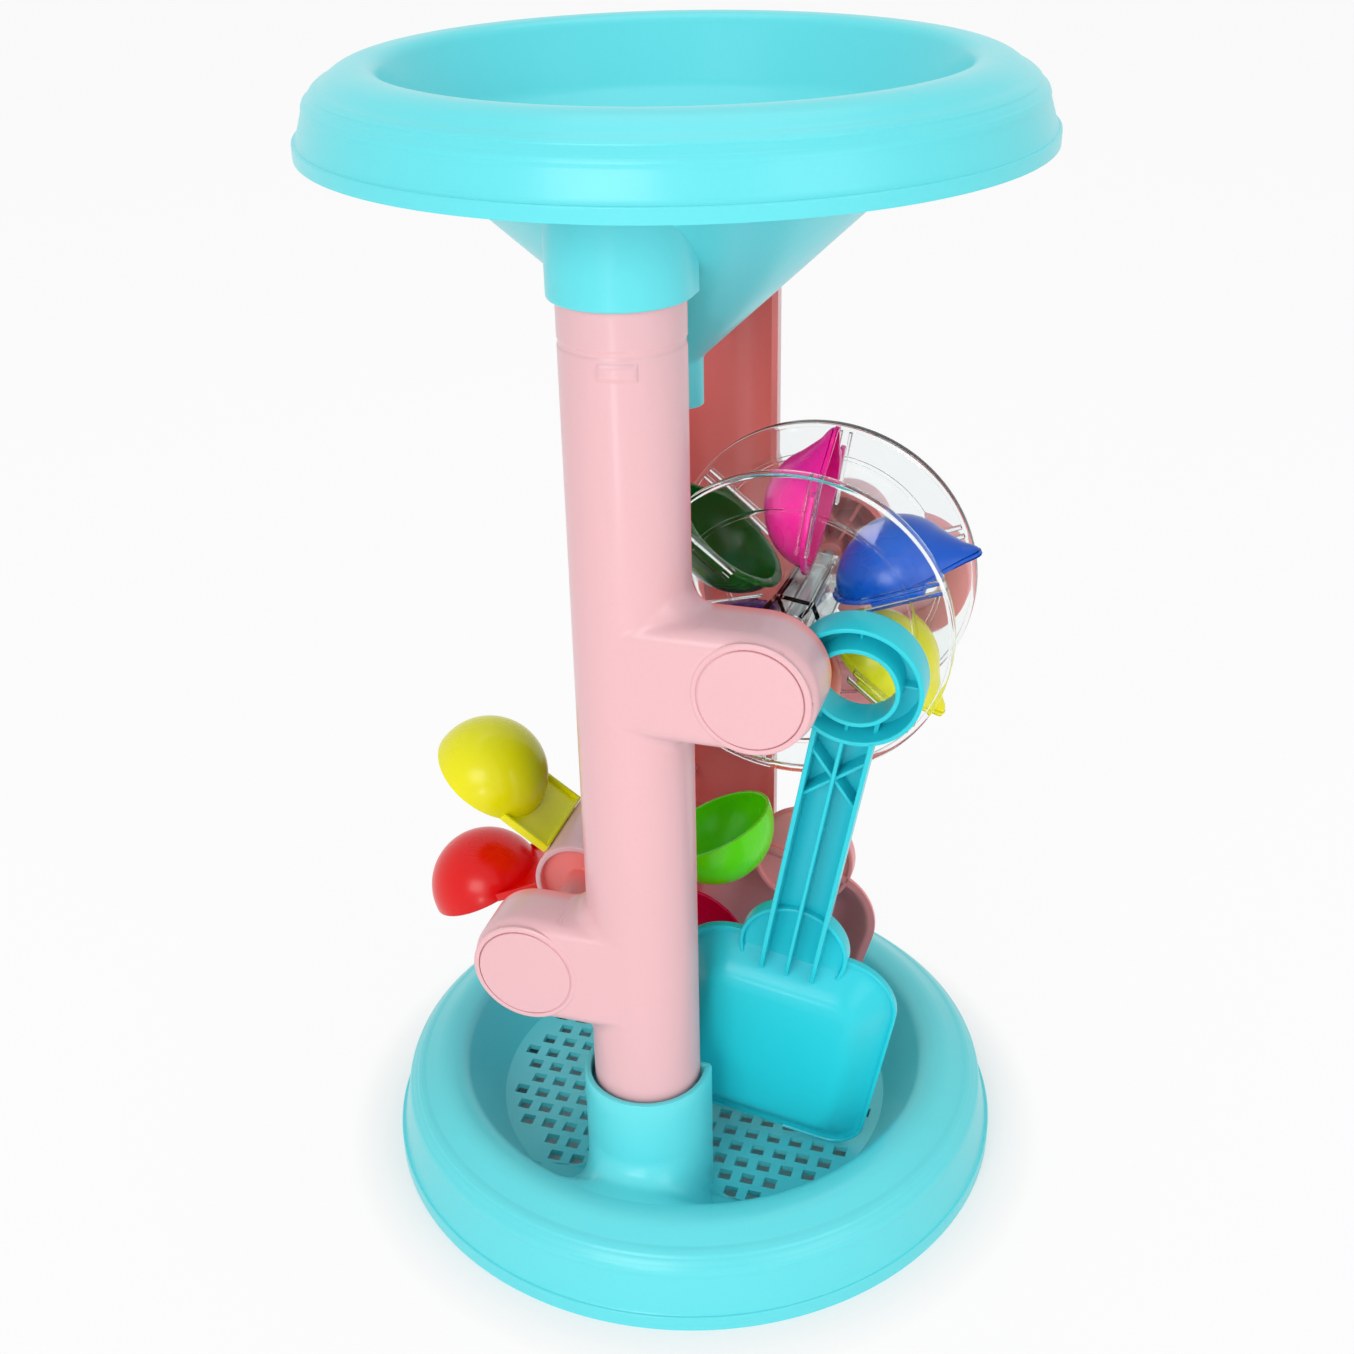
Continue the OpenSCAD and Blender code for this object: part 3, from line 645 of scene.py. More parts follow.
def tray_ring(radius):
    """Lip, step, rounded shoulder, crest and well wall, turned round the middle."""
    points = [(radius, 0), (radius, TRAY_LIP_Z), (radius - LIP_STEP, TRAY_LIP_Z),
              (radius - TRAY_SHOULDER[0], TRAY_SHOULDER[1]), TRAY_CREST, WELL_EDGE,
              (FLOOR_R, FLOOR_Z), (FLOOR_R - 1, FLOOR_Z - 1.6)]
    radii = [*LIP_ROUNDS, TRAY_SHOULDER_ROUND, CREST_ROUND, WELL_ROUND, 0, 0]
    return lathe(shell_profile(points, radii, TRAY_BANDS), 224)


def sieve_floor():
    """A plate on a grid whose lines run along the hole edges: cells in a hole are left out, the
    rest get a top and a bottom, and every side between a kept and a left out cell gets a wall."""
    sx, sy = HOLE_STEP
    half, reach = HOLE / 2, FLOOR_R + 5
    k = np.arange(-20, 21)
    xs = np.unique(np.round(np.concatenate([k * sx / 2 - half, k * sx / 2 + half]), 4))
    j = np.arange(-10, 11)
    ys = np.unique(np.round(np.concatenate([j * sy - half, j * sy + half]), 4))
    xs, ys = xs[np.abs(xs) < reach], ys[np.abs(ys) < reach]
    mx, my = np.meshgrid((xs[1:] + xs[:-1]) / 2, (ys[1:] + ys[:-1]) / 2, indexing="ij")
    row = np.round(my / sy)
    shift = np.where(np.abs(row) % 2 == 1, sx / 2, 0)
    hx, hy = np.round((mx - shift) / sx) * sx + shift, row * sy
    in_hole = (np.abs(mx - hx) < half) & (np.abs(my - hy) < half)
    behind = np.abs(hy) < POST_BACK - COLLAR_OUT - HOLE
    apart = behind | (np.hypot(hx, np.abs(hy) - POST_Y) > POST_R + COLLAR_OUT + HOLE)
    open_cell = in_hole & (np.hypot(hx, hy) < FLOOR_R - FLOOR_MARGIN) & apart
    solid = (np.hypot(mx, my) < FLOOR_R + 3) & ~open_cell

    n, m = len(xs), len(ys)
    gx, gy = np.meshgrid(xs, ys, indexing="ij")
    pull = np.minimum(1, (FLOOR_R + FLOOR_LAP) / np.maximum(np.hypot(gx, gy), 1e-6))
    top = np.stack([gx * pull, gy * pull, np.full_like(gx, FLOOR_Z)], -1).reshape(-1, 3)
    bottom = top - np.array([0, 0, FLOOR_T])
    index = np.arange(n * m).reshape(n, m)
    corners = index[:-1, :-1], index[1:, :-1], index[1:, 1:], index[:-1, 1:]
    a, b, c, d = (corner[solid] for corner in corners)
    faces = [np.stack([a, b, c, d], 1), np.stack([d, c, b, a], 1) + n * m]
    padded = np.pad(solid, 1)
    for dx, dy, p, q in ((1, 0, 1, 2), (-1, 0, 3, 0), (0, 1, 2, 3), (0, -1, 0, 1)):
        edge = solid & ~padded[1 + dx:n + dx, 1 + dy:m + dy]
        p, q = corners[p][edge], corners[q][edge]
        faces.append(np.stack([p, p + n * m, q + n * m, q], 1))
    return np.vstack([top, bottom]), np.vstack(faces)


def d_outline(radius, leg, corner, count=40):
    """Half circle towards -Y with straight sides and two round back corners, as one closed line
    round the post's middle. Lines of different radius have matching points."""
    front = arc((0, 0), radius, 180, 360, count)
    right = np.stack([np.full(6, radius), np.linspace(0, leg - corner, 6)], 1)[1:]
    turn = arc((radius - corner, leg - corner), corner, 0, 90, 6)[1:]
    back = np.stack([np.linspace(radius - corner, corner - radius, 12), np.full(12, leg)], 1)[1:]
    turn_left = arc((corner - radius, leg - corner), corner, 90, 180, 6)[1:]
    left = np.stack([np.full(6, -radius), np.linspace(leg - corner, 0, 6)], 1)[1:-1]
    return np.vstack([front, right, turn, back, turn_left, left])


def well_height(r):
    """Height of the tray's upper surface over a radius: sieve floor, well wall, crest and
    shoulder."""
    shoulder = (TRAY[1].x / MM - TRAY_SHOULDER[0], TRAY_SHOULDER[1])
    line = rounded([(FLOOR_R - 9, FLOOR_Z), (FLOOR_R, FLOOR_Z), WELL_EDGE, TRAY_CREST, shoulder],
                   [0, 0, WELL_ROUND, CREST_ROUND, 0])
    return np.interp(r, line[:, 0], line[:, 1])


def tray_collar():
    """Collar round a post: the post's outline grown by an offset, carried through rows of (offset,
    height), down to the floor or just under the well's wall."""
    def outline(offset, height):
        out = COLLAR_OUT + offset
        line = d_outline(POST_R + out, POST_LEG + out, max(COLLAR_CORNER + offset, 0.4))
        return np.column_stack([line, np.full(len(line), float(height))])

    soft, bevel = COLLAR_EDGE, 0.3 * COLLAR_EDGE
    rows = [(-COLLAR_SEAT, SHOULDER_Z - 4), (-COLLAR_SEAT, SHOULDER_Z - 0.3),
            (-COLLAR_T, SHOULDER_Z - 0.3), (-COLLAR_T, COLLAR_TOP - soft),
            (bevel - COLLAR_T, COLLAR_TOP - bevel), (soft - COLLAR_T, COLLAR_TOP),
            (-soft, COLLAR_TOP), (-bevel, COLLAR_TOP - bevel), (0, COLLAR_TOP - soft),
            (0, SHOULDER_Z), (0, SHOULDER_Z - 8)]
    grid = [outline(*row) for row in rows]
    for offset in (0, -COLLAR_T):
        line = outline(offset, 0)
        far = np.hypot(line[:, 0], line[:, 1] - POST_Y)
        line[:, 2] = np.where(far > FLOOR_R, well_height(far) - 1.2, FLOOR_Z - 1.4)
        grid.append(line)
    return sheet(np.stack(grid) - np.array([0, POST_Y, 0]), wrap_rows=True, wrap_columns=True)


def foot_surface(turn, gap):
    """Web between a collar's front and the rim, by direction round the collar and distance a from
    it: its points and whether they stand over the sieve floor. Its height is the well's height
    further out by b, where (R - a)^2 + (R - b)^2 = R^2, so it leaves the collar upright and runs
    out flush in the well's wall. A small fillet of its own lifts it where it is as high as the
    crest, and past the crest it dips under the rim."""
    big, small, crest = WEB_R, WEB_FILLET, TRAY_CREST[0] - 2
    near = POST_R + COLLAR_OUT + gap
    x, y = near * np.sin(turn), -POST_Y - near * np.cos(turn)
    far = np.hypot(x, y)
    a = np.clip(gap, 0, big)
    b = big - np.sqrt(big ** 2 - (big - a) ** 2)
    z = well_height(np.minimum(far + b, crest))
    a = np.minimum(a, small)
    z = z + smoothstep((z - 18) / 14) * (small - np.sqrt(small ** 2 - (small - a) ** 2)) - 0.25
    z = np.where(far > crest, np.minimum(z, well_height(far) - 0.4), z)
    return np.stack([x, y, z], -1), far + b > FLOOR_R


def collar_foot():
    """The web as a thin wall, which in each direction reaches no further than where it meets the
    sieve."""
    gap = np.array([-0.9, 0, 0.1, 0.3, 0.6, 1, 1.5, 2, 2.7, 3.5, 4.4, 5.3, 6.4, 7.6, 9, 10.5, 12,
                    14, 16, 18, 20, 24])
    turn, gap = np.meshgrid(np.radians(np.linspace(-WEB_TURN, WEB_TURN, 95)), gap)
    _, over = foot_surface(turn, gap)
    reach = np.where(over, gap, 0.8).max(axis=0)
    top, _ = foot_surface(turn, np.where(gap > 0, gap * reach / gap[-1], gap))
    return slab(top, top - np.array([0, 0, WEB_T]))


def hopper_ring(radius):
    """Lip, step, shoulder, crest, mouth, funnel and nozzle, turned round the middle."""
    low, high = HOPPER_LIP_Z
    points = [(radius, low), (radius, high), (radius - LIP_STEP, high)]
    points += [(radius - back, z) for back, z in (HOPPER_SHOULDER, HOPPER_CREST, HOPPER_MOUTH)]
    points += [CONE_TOP, CONE_FOOT, (CONE_FOOT[0], NOZZLE_Z)]
    radii = [*LIP_ROUNDS, *HOPPER_ROUNDS, 0]
    return lathe(shell_profile(points, radii, HOPPER_BANDS), 224)


def cone_under(x, y, drop):
    """Height of the funnel's underside over a point, less a drop."""
    slope = (CONE_TOP[1] - CONE_FOOT[1]) / (CONE_TOP[0] - CONE_FOOT[0])
    return CONE_FOOT[1] + (np.hypot(x, y) - CONE_FOOT[0]) * slope - drop


def hopper_collar():
    """Sleeve round a post's top, open at the back: a U line with thickness, from its rim up into
    the funnel. Its rim is rounded: the wall is drawn in by the edge radius less a quarter
    circle."""
    radius, leg, edge = POST_R + HOPPER_FIT, POST_LEG + COLLAR_OUT, COLLAR_EDGE
    heights = np.concatenate([[0, 0.04, 0.15, 0.5, 1.2], np.linspace(3, 30, 14)])
    inset = edge - np.sqrt(edge ** 2 - np.maximum(edge - heights, 0) ** 2)

    def u_line(r):
        front = arc((0, 0), r, 180, 360, 49)
        left = np.stack([np.full(5, -r), np.linspace(leg, 0, 5)], 1)[:-1]
        right = left[::-1] * np.array([-1, 1])
        return np.vstack([left, front, right]) - np.array([0, POST_Y])

    def wall(r, side):
        xy = u_line(r)
        rise = cone_under(xy[:, 0], xy[:, 1], 0.3) - HOPPER_COLLAR_Z
        return np.stack([np.column_stack([u_line(r + side * d), HOPPER_COLLAR_Z + s * rise])
                         for d, s in zip(inset, heights / heights[-1])])

    return slab(wall(radius + COLLAR_T, -1), wall(radius, 1))


def build_tray(settings):
    """Rim, sieve floor, and a collar with its web at each post."""
    mat = plastic("Aqua plastic", settings.aqua)
    parts = [tray_ring(settings.tray_radius / MM), sieve_floor()]
    foot = [tray_collar()] + collar_foot()
    parts += foot + moved(foot, flipped)
    return piece("tray", parts, mat, "stand", ["base_tray"])


def build_hopper(settings):
    """Rim and funnel, and a collar at each post."""
    mat = plastic("Aqua plastic", settings.aqua)
    collar = hopper_collar()
    parts = [hopper_ring(settings.hopper_radius / MM)] + collar + moved(collar, flipped)
    return piece("funnel_hopper", parts, mat, "stand", ["hopper"])


# Posts

def arm_path(reach, radius, post_r, fillet, count):
    """Edge of an arm seen from the front, from the post's side up round the arm's end and back: its
    points, their inward normals, and the shares of the line at the ends of its quarter fillets,
    straight sides and round end."""
    side = reach - post_r - fillet
    lengths = np.array([fillet * pi / 2, side, radius * pi, side, fillet * pi / 2])
    ends = np.concatenate([[0], np.cumsum(lengths)])
    s = np.linspace(0, ends[-1], count)
    x, z, nx, nz = (np.zeros(count) for _ in range(4))
    k = np.clip(np.searchsorted(ends, s, side="right") - 1, 0, 4)
    t = s - ends[k]
    for part, way in ((0, -1), (4, 1)):
        at = k == part
        a = t[at] / fillet if part == 0 else pi / 2 - t[at] / fillet
        x[at] = post_r + fillet - fillet * np.cos(a)
        z[at] = way * (radius + fillet - fillet * np.sin(a))
        nx[at], nz[at] = -np.cos(a), -way * np.sin(a)
    low, end, high = k == 1, k == 2, k == 3
    x[low], z[low], nz[low] = post_r + fillet + t[low], -radius, 1
    x[high], z[high], nz[high] = reach - t[high], radius, -1
    b = t[end] / radius - pi / 2
    x[end], z[end] = reach + radius * np.cos(b), radius * np.sin(b)
    nx[end], nz[end] = -np.cos(b), -np.sin(b)
    return np.stack([x, z], 1), np.stack([nx, nz], 1), ends / ends[-1]


def post_depth(x, z, reach, inset):
    """Height of a post's surface over its back plane, by halving: where the blend of two solids is
    zero. One is the post, a half cylinder with straight legs. The other is the arm, a flat bar with
    a round end and a rounded edge. They join in a fillet whose radius shrinks to nothing at the
    arm's face."""
    depth, post_r, arm_r = POST_DEPTH - inset, POST_R - inset, ARM_R - inset
    edge, fillet = ARM_ROUND - inset, ARM_FILLET + inset
    side = np.hypot(x - np.clip(x, 0, reach), z) - arm_r + edge
    low, high = np.zeros_like(x), np.full_like(x, depth + 0.4)
    for _ in range(26):
        h = (low + high) / 2
        post = np.hypot(x, np.maximum(h - POST_LEG, 0)) - post_r
        face = h - depth + edge
        corner = np.hypot(np.maximum(side, 0), np.maximum(face, 0)) - edge
        arm = np.minimum(np.maximum(side, face), 0) + corner
        k = np.clip(depth - h, 0.5, fillet)
        fill = np.hypot(np.maximum(k - post, 0), np.maximum(k - arm, 0))
        both = np.maximum(k, np.minimum(post, arm)) - fill
        low, high = np.where(both < 0, h, low), np.where(both < 0, high, h)
    return np.minimum((low + high) / 2, depth)


def post_half(heights, arm_z, reach, inset):
    """Right half of a post with its arm, seen from the front, as rows from the edge in to the
    middle line. Each column starts at one height on the middle line and ends on the outline, which
    runs round the arm."""
    post_r, fillet = POST_R - inset, ARM_FILLET + inset
    zone = ARM_R + ARM_FILLET
    near = np.abs(heights - arm_z) < zone
    path, normal, knots = arm_path(reach, ARM_R - inset, post_r, fillet, 600)
    core = ARM_R - inset - ARM_BAND
    stops = [-zone, 0.5 - core, 2.4 - core, core - 2.4, core - 0.5, zone]
    q = np.interp(heights - arm_z, stops, knots)
    edge = np.stack([np.full(len(heights), post_r), heights], 1)
    inward = np.tile([-1.0, 0.0], (len(heights), 1))
    t = np.linspace(0, 1, len(path))
    for k in (0, 1):
        edge[near, k] = np.interp(q[near], t, path[:, k]) + (arm_z if k else 0)
        inward[near, k] = np.interp(q[near], t, normal[:, k])
    inward /= np.linalg.norm(inward, axis=1)[:, None]
    middle = np.stack([np.zeros(len(heights)), heights], 1)

    band = ARM_BAND * (1 - np.cos(np.linspace(0, pi / 2, 10)))
    rows = [edge + inward * b for b in band]
    rows += [rows[-1] + (middle - rows[-1]) * s for s in np.linspace(0, 1, 17)[1:]]
    plan = np.stack(rows)
    held = plan.copy()
    held[0] += inward * 0.03
    return plan, post_depth(held[..., 0], held[..., 1] - arm_z, reach, inset)


def post_columns():
    """Heights of a post's columns: dense where an arm leaves it, at the groove and at the
    shoulder."""
    zone, core = ARM_R + ARM_FILLET, ARM_R - ARM_BAND
    steps = np.concatenate([np.linspace(-zone, -core, 36), np.linspace(-core, core, 101)[1:-1],
                            np.linspace(core, zone, 36)])
    parts = [steps + a for a in (UPPER_AXLE[1], LOWER_AXLE[1])]
    parts += [np.arange(63, 389, 3.2), GROOVE_Z + np.linspace(-2, 2, 11), [POST_TOP],
              SHOULDER_Z + np.array([-8, -4, -1, 0.2, 0.66, 1.0, 1.5, 2.2, 3, 4])]
    z = np.unique(np.round(np.concatenate(parts), 3))
    return z[np.concatenate([[True], np.diff(z) > 0.15])]


def post_grid(inset):
    """Whole face of the front post, from its right back edge round the front to its left back edge.
    It is drawn in at the shoulder and in the groove, and its top is bent up to the funnel's
    underside."""
    z = post_columns()
    right, right_h = post_half(z, UPPER_AXLE[1], UPPER_AXLE[0], inset)
    left, left_h = post_half(z, LOWER_AXLE[1], -LOWER_AXLE[0], inset)
    left = left * np.array([-1, 1])
    wall = np.linspace(0, 1, 4)[:-1]

    def with_wall(plan, height):
        low = np.stack([height[0] * w for w in wall])
        plan = np.concatenate([np.repeat(plan[:1], len(wall), 0), plan])
        return plan, np.concatenate([low, height])

    right, right_h = with_wall(right, right_h)
    left, left_h = with_wall(left, left_h)
    plan = np.concatenate([right, left[::-1][1:]])
    height = np.concatenate([right_h, left_h[::-1][1:]])

    zz = np.broadcast_to(z, height.shape)
    drop = np.clip(SHOULDER_Z + NECK_ROUND - zz, 0, NECK_ROUND)
    shrink = NECK_ROUND - np.sqrt(np.maximum(NECK_ROUND ** 2 - drop ** 2, 0))
    shrink = np.minimum(shrink, NECK_IN)
    if inset == 0:
        shrink = shrink + GROOVE_D * (1 - smoothstep((np.abs(zz - GROOVE_Z) - 0.7) / 0.6))
    scale = 1 - shrink / POST_R
    x, up = plan[..., 0] * scale, plan[..., 1]
    h = np.where(height > POST_LEG, (height - POST_LEG) * scale + POST_LEG, height)
    y = -POST_BACK - h
    bend = np.clip((up - BEND_Z) / (POST_TOP - BEND_Z), 0, 1) * (cone_under(x, y, 3.2) - BEND_Z)
    return np.stack([x, y, np.where(up > BEND_Z, BEND_Z + bend, up)], -1)


def post_parts():
    """Shell of the post, its bosses, the thin ribs in its arms, and the small raised plate near its
    top."""
    parts = slab(post_grid(0), post_grid(ARM_WALL))
    bore, top = AXLE_R + 0.1, 1.5 - POST_FACE
    tube = np.array([(bore, -POST_BACK), (BOSS_R - 0.4, -POST_BACK), (BOSS_R, -POST_BACK - 0.4),
                     (BOSS_R, top), (bore, top)])
    reach = ARM_R - 1.1
    rib = block((-reach, 2 - POST_FACE, -ARM_RIB_T / 2), (reach, -POST_BACK - 8, ARM_RIB_T / 2))
    for axle in (UPPER_AXLE, LOWER_AXLE):
        parts.append(lathe(tube, 40, "y", axle))
        for turn in (0, 60, 120):
            parts += turned(rib, radians(turn), axle)
    u = np.linspace(*PLATE_TURN, 16)
    v = np.linspace(0, 1, 7)
    edge = np.minimum(smoothstep(np.minimum(u - u[0], u[-1] - u) / 0.04)[:, None],
                      smoothstep(np.minimum(v, 1 - v) / 0.17)[None])
    r = POST_R + PLATE_UP * edge
    plate = np.stack([r * np.sin(u)[:, None], -POST_Y - r * np.cos(u)[:, None],
                      np.broadcast_to(PLATE_Z + PLATE_H * v, r.shape)], -1)
    return parts + slab(plate, plate + np.array([0, 1.0, 0]))


def cap_parts(axle, proud):
    """A cap: a flat disc with a rounded edge that stands a little out of the arm's face, and a low
    ring round it."""
    root, front = 1 - POST_FACE, -POST_FACE - proud
    inner, outer = CAP_R + 0.1, CAP_R + 0.1 + CAP_RING
    disc = [(0, root), (CAP_R - 0.3, root), (CAP_R - 0.3, front), (0, front)]
    ring = [(inner, root), (inner, -POST_FACE - 0.3), (outer - 0.6, -POST_FACE - 0.3),
            (outer, 0.1 - POST_FACE), (outer, root)]
    return [lathe(rounded(disc, [0, 0, 0.5, 0]), 96, "y", axle),
            lathe(rounded(ring, [0, 0.2, 0.5, 0, 0]), 96, "y", axle)]


def build_posts(settings):
    """Both posts, the four caps over the ends of the axles, and the pins' plastic."""
    mat = pink_plastic(settings.pink, settings.deep)
    parts = post_parts()
    # Painted shade on the posts' faces towards the middle, by the inner share.
    piece("post_front", parts, mat, "stand", ["front_post"], inner=painted_shade_towards_middle)
    piece("post_back", moved(parts, flipped), mat, "stand", ["back_post"],
          inner=painted_shade_towards_middle)
    for axle, level in ((UPPER_AXLE, "upper"), (LOWER_AXLE, "lower")):
        cap = cap_parts(axle, settings.cap_proud / MM)
        piece(level + "_arm_cap_front", cap, mat, "stand", [level + "_cap_front"])
        piece(level + "_arm_cap_back", moved(cap, flipped), mat, "stand", [level + "_cap_back"])
        finish_node(level + "_axle", plastic("Pin plastic", settings.pin, 0.35))


# Wheels

def clear_disc(bead):
    """A disc on the back side of the wheel: a thin plate with a bead at its rim, a low step and six
    pairs of ribs."""
    inner, outer, edge = DISC_HALF, DISC_HALF + DISC_T, DISC_R - BEAD_W
    near, far, step = DISC_STEP
    points = [(SLEEVE_R + 0.1, inner), (edge, inner), (edge, inner - bead),
              (DISC_R, inner - bead), (DISC_R, outer), (far, outer), (far, outer + step),
              (near, outer + step), (near, outer), (SLEEVE_R + 0.1, outer)]
    profile = rounded(points, [0.2, 0.4, 0.3, 0.3, 0.5, 0.25, 0.25, 0.25, 0.25, 0.2], 4)
    parts = [lathe(profile, 160, "y", UPPER_AXLE)]
    ribs = []
    for y in (-1.3, FLANGE_T + 0.3):
        ribs += block((inner - 3, y, DISC_RIB_FROM), (inner + 0.02, y + 1, edge - 0.1), 0.2)
    for i in range(CUPS):
        parts += moved(ribs, spoke(UPPER_AXLE, UPPER_TURN + i * 360 / CUPS))
    return parts


def drop_radius(grow, samples=721):
    """Distance of a cup's outline from its ball's middle by direction: a ball that draws out to a
    spout, with the corners between ball, cone and tip evened out by a moving mean."""
    r, tip = CUP_R + grow, SPOUT_R + grow
    up = CUP_TIP - SPOUT_R - CUP_MID
    a = np.radians(np.linspace(-90, 90, samples))
    start = radians(SPOUT_FROM)
    foot = (r - 0.4) * np.array([cos(start), sin(start)])
    end = np.array([tip, up])
    d = end - foot
    cross = d[1] * np.cos(a) - d[0] * np.sin(a)
    cone = (d[1] * foot[0] - d[0] * foot[1]) / np.where(np.abs(cross) < 1e-6, 1e-6, cross)
    cone = np.where((a > start) & (a <= atan2(end[1], end[0])), cone, 0)
    root = np.sqrt(np.maximum(tip ** 2 - (up * np.cos(a)) ** 2, 0))
    dome = np.where(tip > np.abs(up * np.cos(a)), up * np.sin(a) + root, 0)
    out = np.maximum.reduce([np.full(samples, r), cone, dome])
    width = 25
    wide = np.concatenate([out[width:0:-1], out, out[-2:-width - 2:-1]])
    share = np.hanning(2 * width + 1)
    return np.degrees(a), np.convolve(wide, share / share.sum(), "valid")


def upper_cup():
    """A cup in the wheel frame. By direction round the ball's middle, the inner and outer outlines
    turn half round the spoke, and a flat rim joins them at the mouth. Each column is a closed loop:
    inner side, rim, outer side, rim. A seat on each side joins it to the discs."""
    angle = np.concatenate([np.linspace(-90, 30, 31), np.linspace(33, 72, 22),
                            np.linspace(73.2, 90, 29)])
    a = np.radians(angle)
    deg, inner = drop_radius(-CUP_T)
    _, outer = drop_radius(0)
    inner, outer = np.interp(angle, deg, inner), np.interp(angle, deg, outer)
    inner = np.minimum(inner, outer - 1.1)
    rim = np.maximum(outer, CUP_R + CUP_RIM - np.maximum(angle - 40, 0) * 0.1)

    def flat(dist):
        return np.maximum(dist * np.cos(a), 0), CUP_MID + dist * np.sin(a)

    xi, zi = flat(inner)
    xo, zo = flat(outer)
    xf, zf = flat(rim)

    def rim_row(x, y, side):
        share = np.clip((x - xi) / np.maximum(xf - xi, 1e-6), 0, 1)
        return np.stack([side * x, np.full_like(x, y), zi + (zf - zi) * share], 1)

    r = np.minimum(0.45, xf * 0.3)
    edge = ((xi + 0.12, 0.1), (xi + 0.4, 0.0), (xf - r, 0.0), (xf - 0.3 * r, 0.13), (xf, 0.45),
            (xf, 1.35), (xf - 0.3 * r, 1.67), (xf - r, FLANGE_T))
    inside = [np.stack([xi * cos(t), xi * sin(t), zi], 1) for t in np.linspace(0, pi, 25)]
    for row in (inside[0], inside[-1]):
        row[:, 1] = 0.35
    low = FLANGE_T + 0.05
    start = np.arcsin(np.clip(low / np.maximum(xo, 1e-6), 0, 1))
    turns = [pi - start + (2 * start - pi) * k for k in np.linspace(0, 1, 27)]
    outside = [np.stack([xo * np.cos(t), np.maximum(xo * np.sin(t), low), zo], 1) for t in turns]
    left = [rim_row(x, y, -1) for x, y in edge]
    right = [rim_row(x, y, 1) for x, y in edge[::-1]]
    parts = [sheet(np.stack(inside + left + outside + right), wrap_rows=True)]
    for side in (-1, 1):
        near, far = sorted((side * (CUP_R - 0.5), side * (DISC_HALF - 0.3)))
        parts += block((near, 0.06, CUP_MID + CUP_SEAT[0]),
                       (far, FLANGE_T - 0.06, CUP_MID + CUP_SEAT[1]), 0.35)
    return parts


def hub_drum():
    """Sleeve and drum in one turned profile, with the drum's ends set in behind a narrow rim."""
    bore, rim, floor = AXLE_R + 0.08, DRUM_R - DRUM_WALL, DRUM_HALF - DRUM_DEEP
    half = [(DRUM_R, DRUM_HALF), (rim, DRUM_HALF), (rim, floor), (SLEEVE_R, floor),
            (SLEEVE_R, SLEEVE_HALF), (bore, SLEEVE_HALF)]
    radii = [0.8, 0.5, 0.3, 1.2, 0.5, 0]
    profile = rounded([(r, -y) for r, y in half[::-1]] + half, radii[::-1] + radii, 5)
    return [lathe(profile, 96, "y", LOWER_AXLE)]


def scoop():
    """A scoop in the wheel frame: half a hollow ball, and a boxed neck whose plate is cut to the
    ball's mouth, with a tongue that reaches into the drum."""
    inner_r, foot, half = SCOOP_R - CUP_T, DRUM_R + 0.3, NECK_W / 2
    lip = rounded([(SCOOP_R, -0.6), (SCOOP_R, 0), (inner_r, 0), (inner_r, -0.6)],
                  [0, 0.45, 0.45, 0], 4)
    line = np.vstack([arc((0, 0), SCOOP_R, -90, -2, 40), lip, arc((0, 0), inner_r, -2, -90, 36)])
    x = (half - 0.4) * np.sin(np.linspace(-pi / 2, pi / 2, 41))
    z_top = SCOOP_MID - np.sqrt(np.maximum((SCOOP_R - 0.7) ** 2 - x ** 2, 0))
    z = foot + (z_top - foot)[None] * np.linspace(0, 1, 9)[:, None]
    plate = np.stack([np.broadcast_to(x, z.shape), np.full_like(z, -0.06), z], -1)
    parts = [lathe(line, 96, "y", (0, SCOOP_MID))]
    parts += slab(plate, plate - np.array([0, FLANGE_T - 0.06, 0]))
    for side in (-1, 1):
        low, high = sorted((side * half, side * (half - CUP_T)))
        parts += block((low, -NECK_DEEP, foot), (high, 0, SCOOP_MID - NECK_END), 0.4)
    parts += block((0.4 - half, 0.04 - NECK_DEEP, foot + 0.04),
                   (half - 0.4, -0.04, foot + CUP_T), 0.4)
    wide, deep = TONGUE
    parts += block((-wide / 2, 0.1 - FLANGE_T, foot - deep), (wide / 2, -0.1, foot + 0.4), 0.3)
    return parts


def build_discs(settings):
    """Both clear discs, and the clear plastic on the hub."""
    mat = clear_plastic(settings.clear)
    parts = clear_disc(settings.bead / MM)
    piece("clear_disc_back", parts, mat, "upper_wheel", ["upper_disc_back"],
          crisp=50)
    piece("clear_disc_front", moved(parts, flipped), mat, "upper_wheel", ["upper_disc_front"],
          crisp=50)
    finish_node("upper_hub", mat)


def build_cups(settings):
    """The upper wheel's cups, one colour each."""
    parts = upper_cup()
    for i, name in enumerate(UPPER_COLOURS):
        mat = plastic(name.capitalize() + " plastic", getattr(settings, name), WHEEL_ROUGHNESS)
        placed = moved(parts, spoke(UPPER_AXLE, UPPER_TURN + i * 360 / CUPS))
        piece("cup_" + name, placed, mat, "upper_wheel", ["upper_cup_" + name])


def build_scoops(settings, posts):
    """The lower wheel's drum in the posts' plastic, and its scoops, one colour each."""
    mat = pink_plastic(posts.pink, posts.deep)
    # Painted shade in the drum's hollow ends, by the inner share.
    piece("hub_drum", hub_drum(), mat, "lower_wheel", ["lower_hub"], inner=painted_shade_in_drum)
    parts = scoop()
    for i, name in enumerate(LOWER_COLOURS):
        mat = plastic(name.capitalize() + " plastic", getattr(settings, name), WHEEL_ROUGHNESS)
        placed = moved(parts, spoke(LOWER_AXLE, LOWER_TURN + i * 360 / CUPS))
        piece("scoop_" + name, placed, mat, "lower_wheel", ["lower_scoop_" + name])


def finish_node(node, mat):
    """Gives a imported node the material, in every slot that it has."""
    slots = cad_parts[node].material_slots
    if not len(slots):
        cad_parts[node].data.materials.append(mat)
    for slot in slots:
        slot.material = mat


# Tools

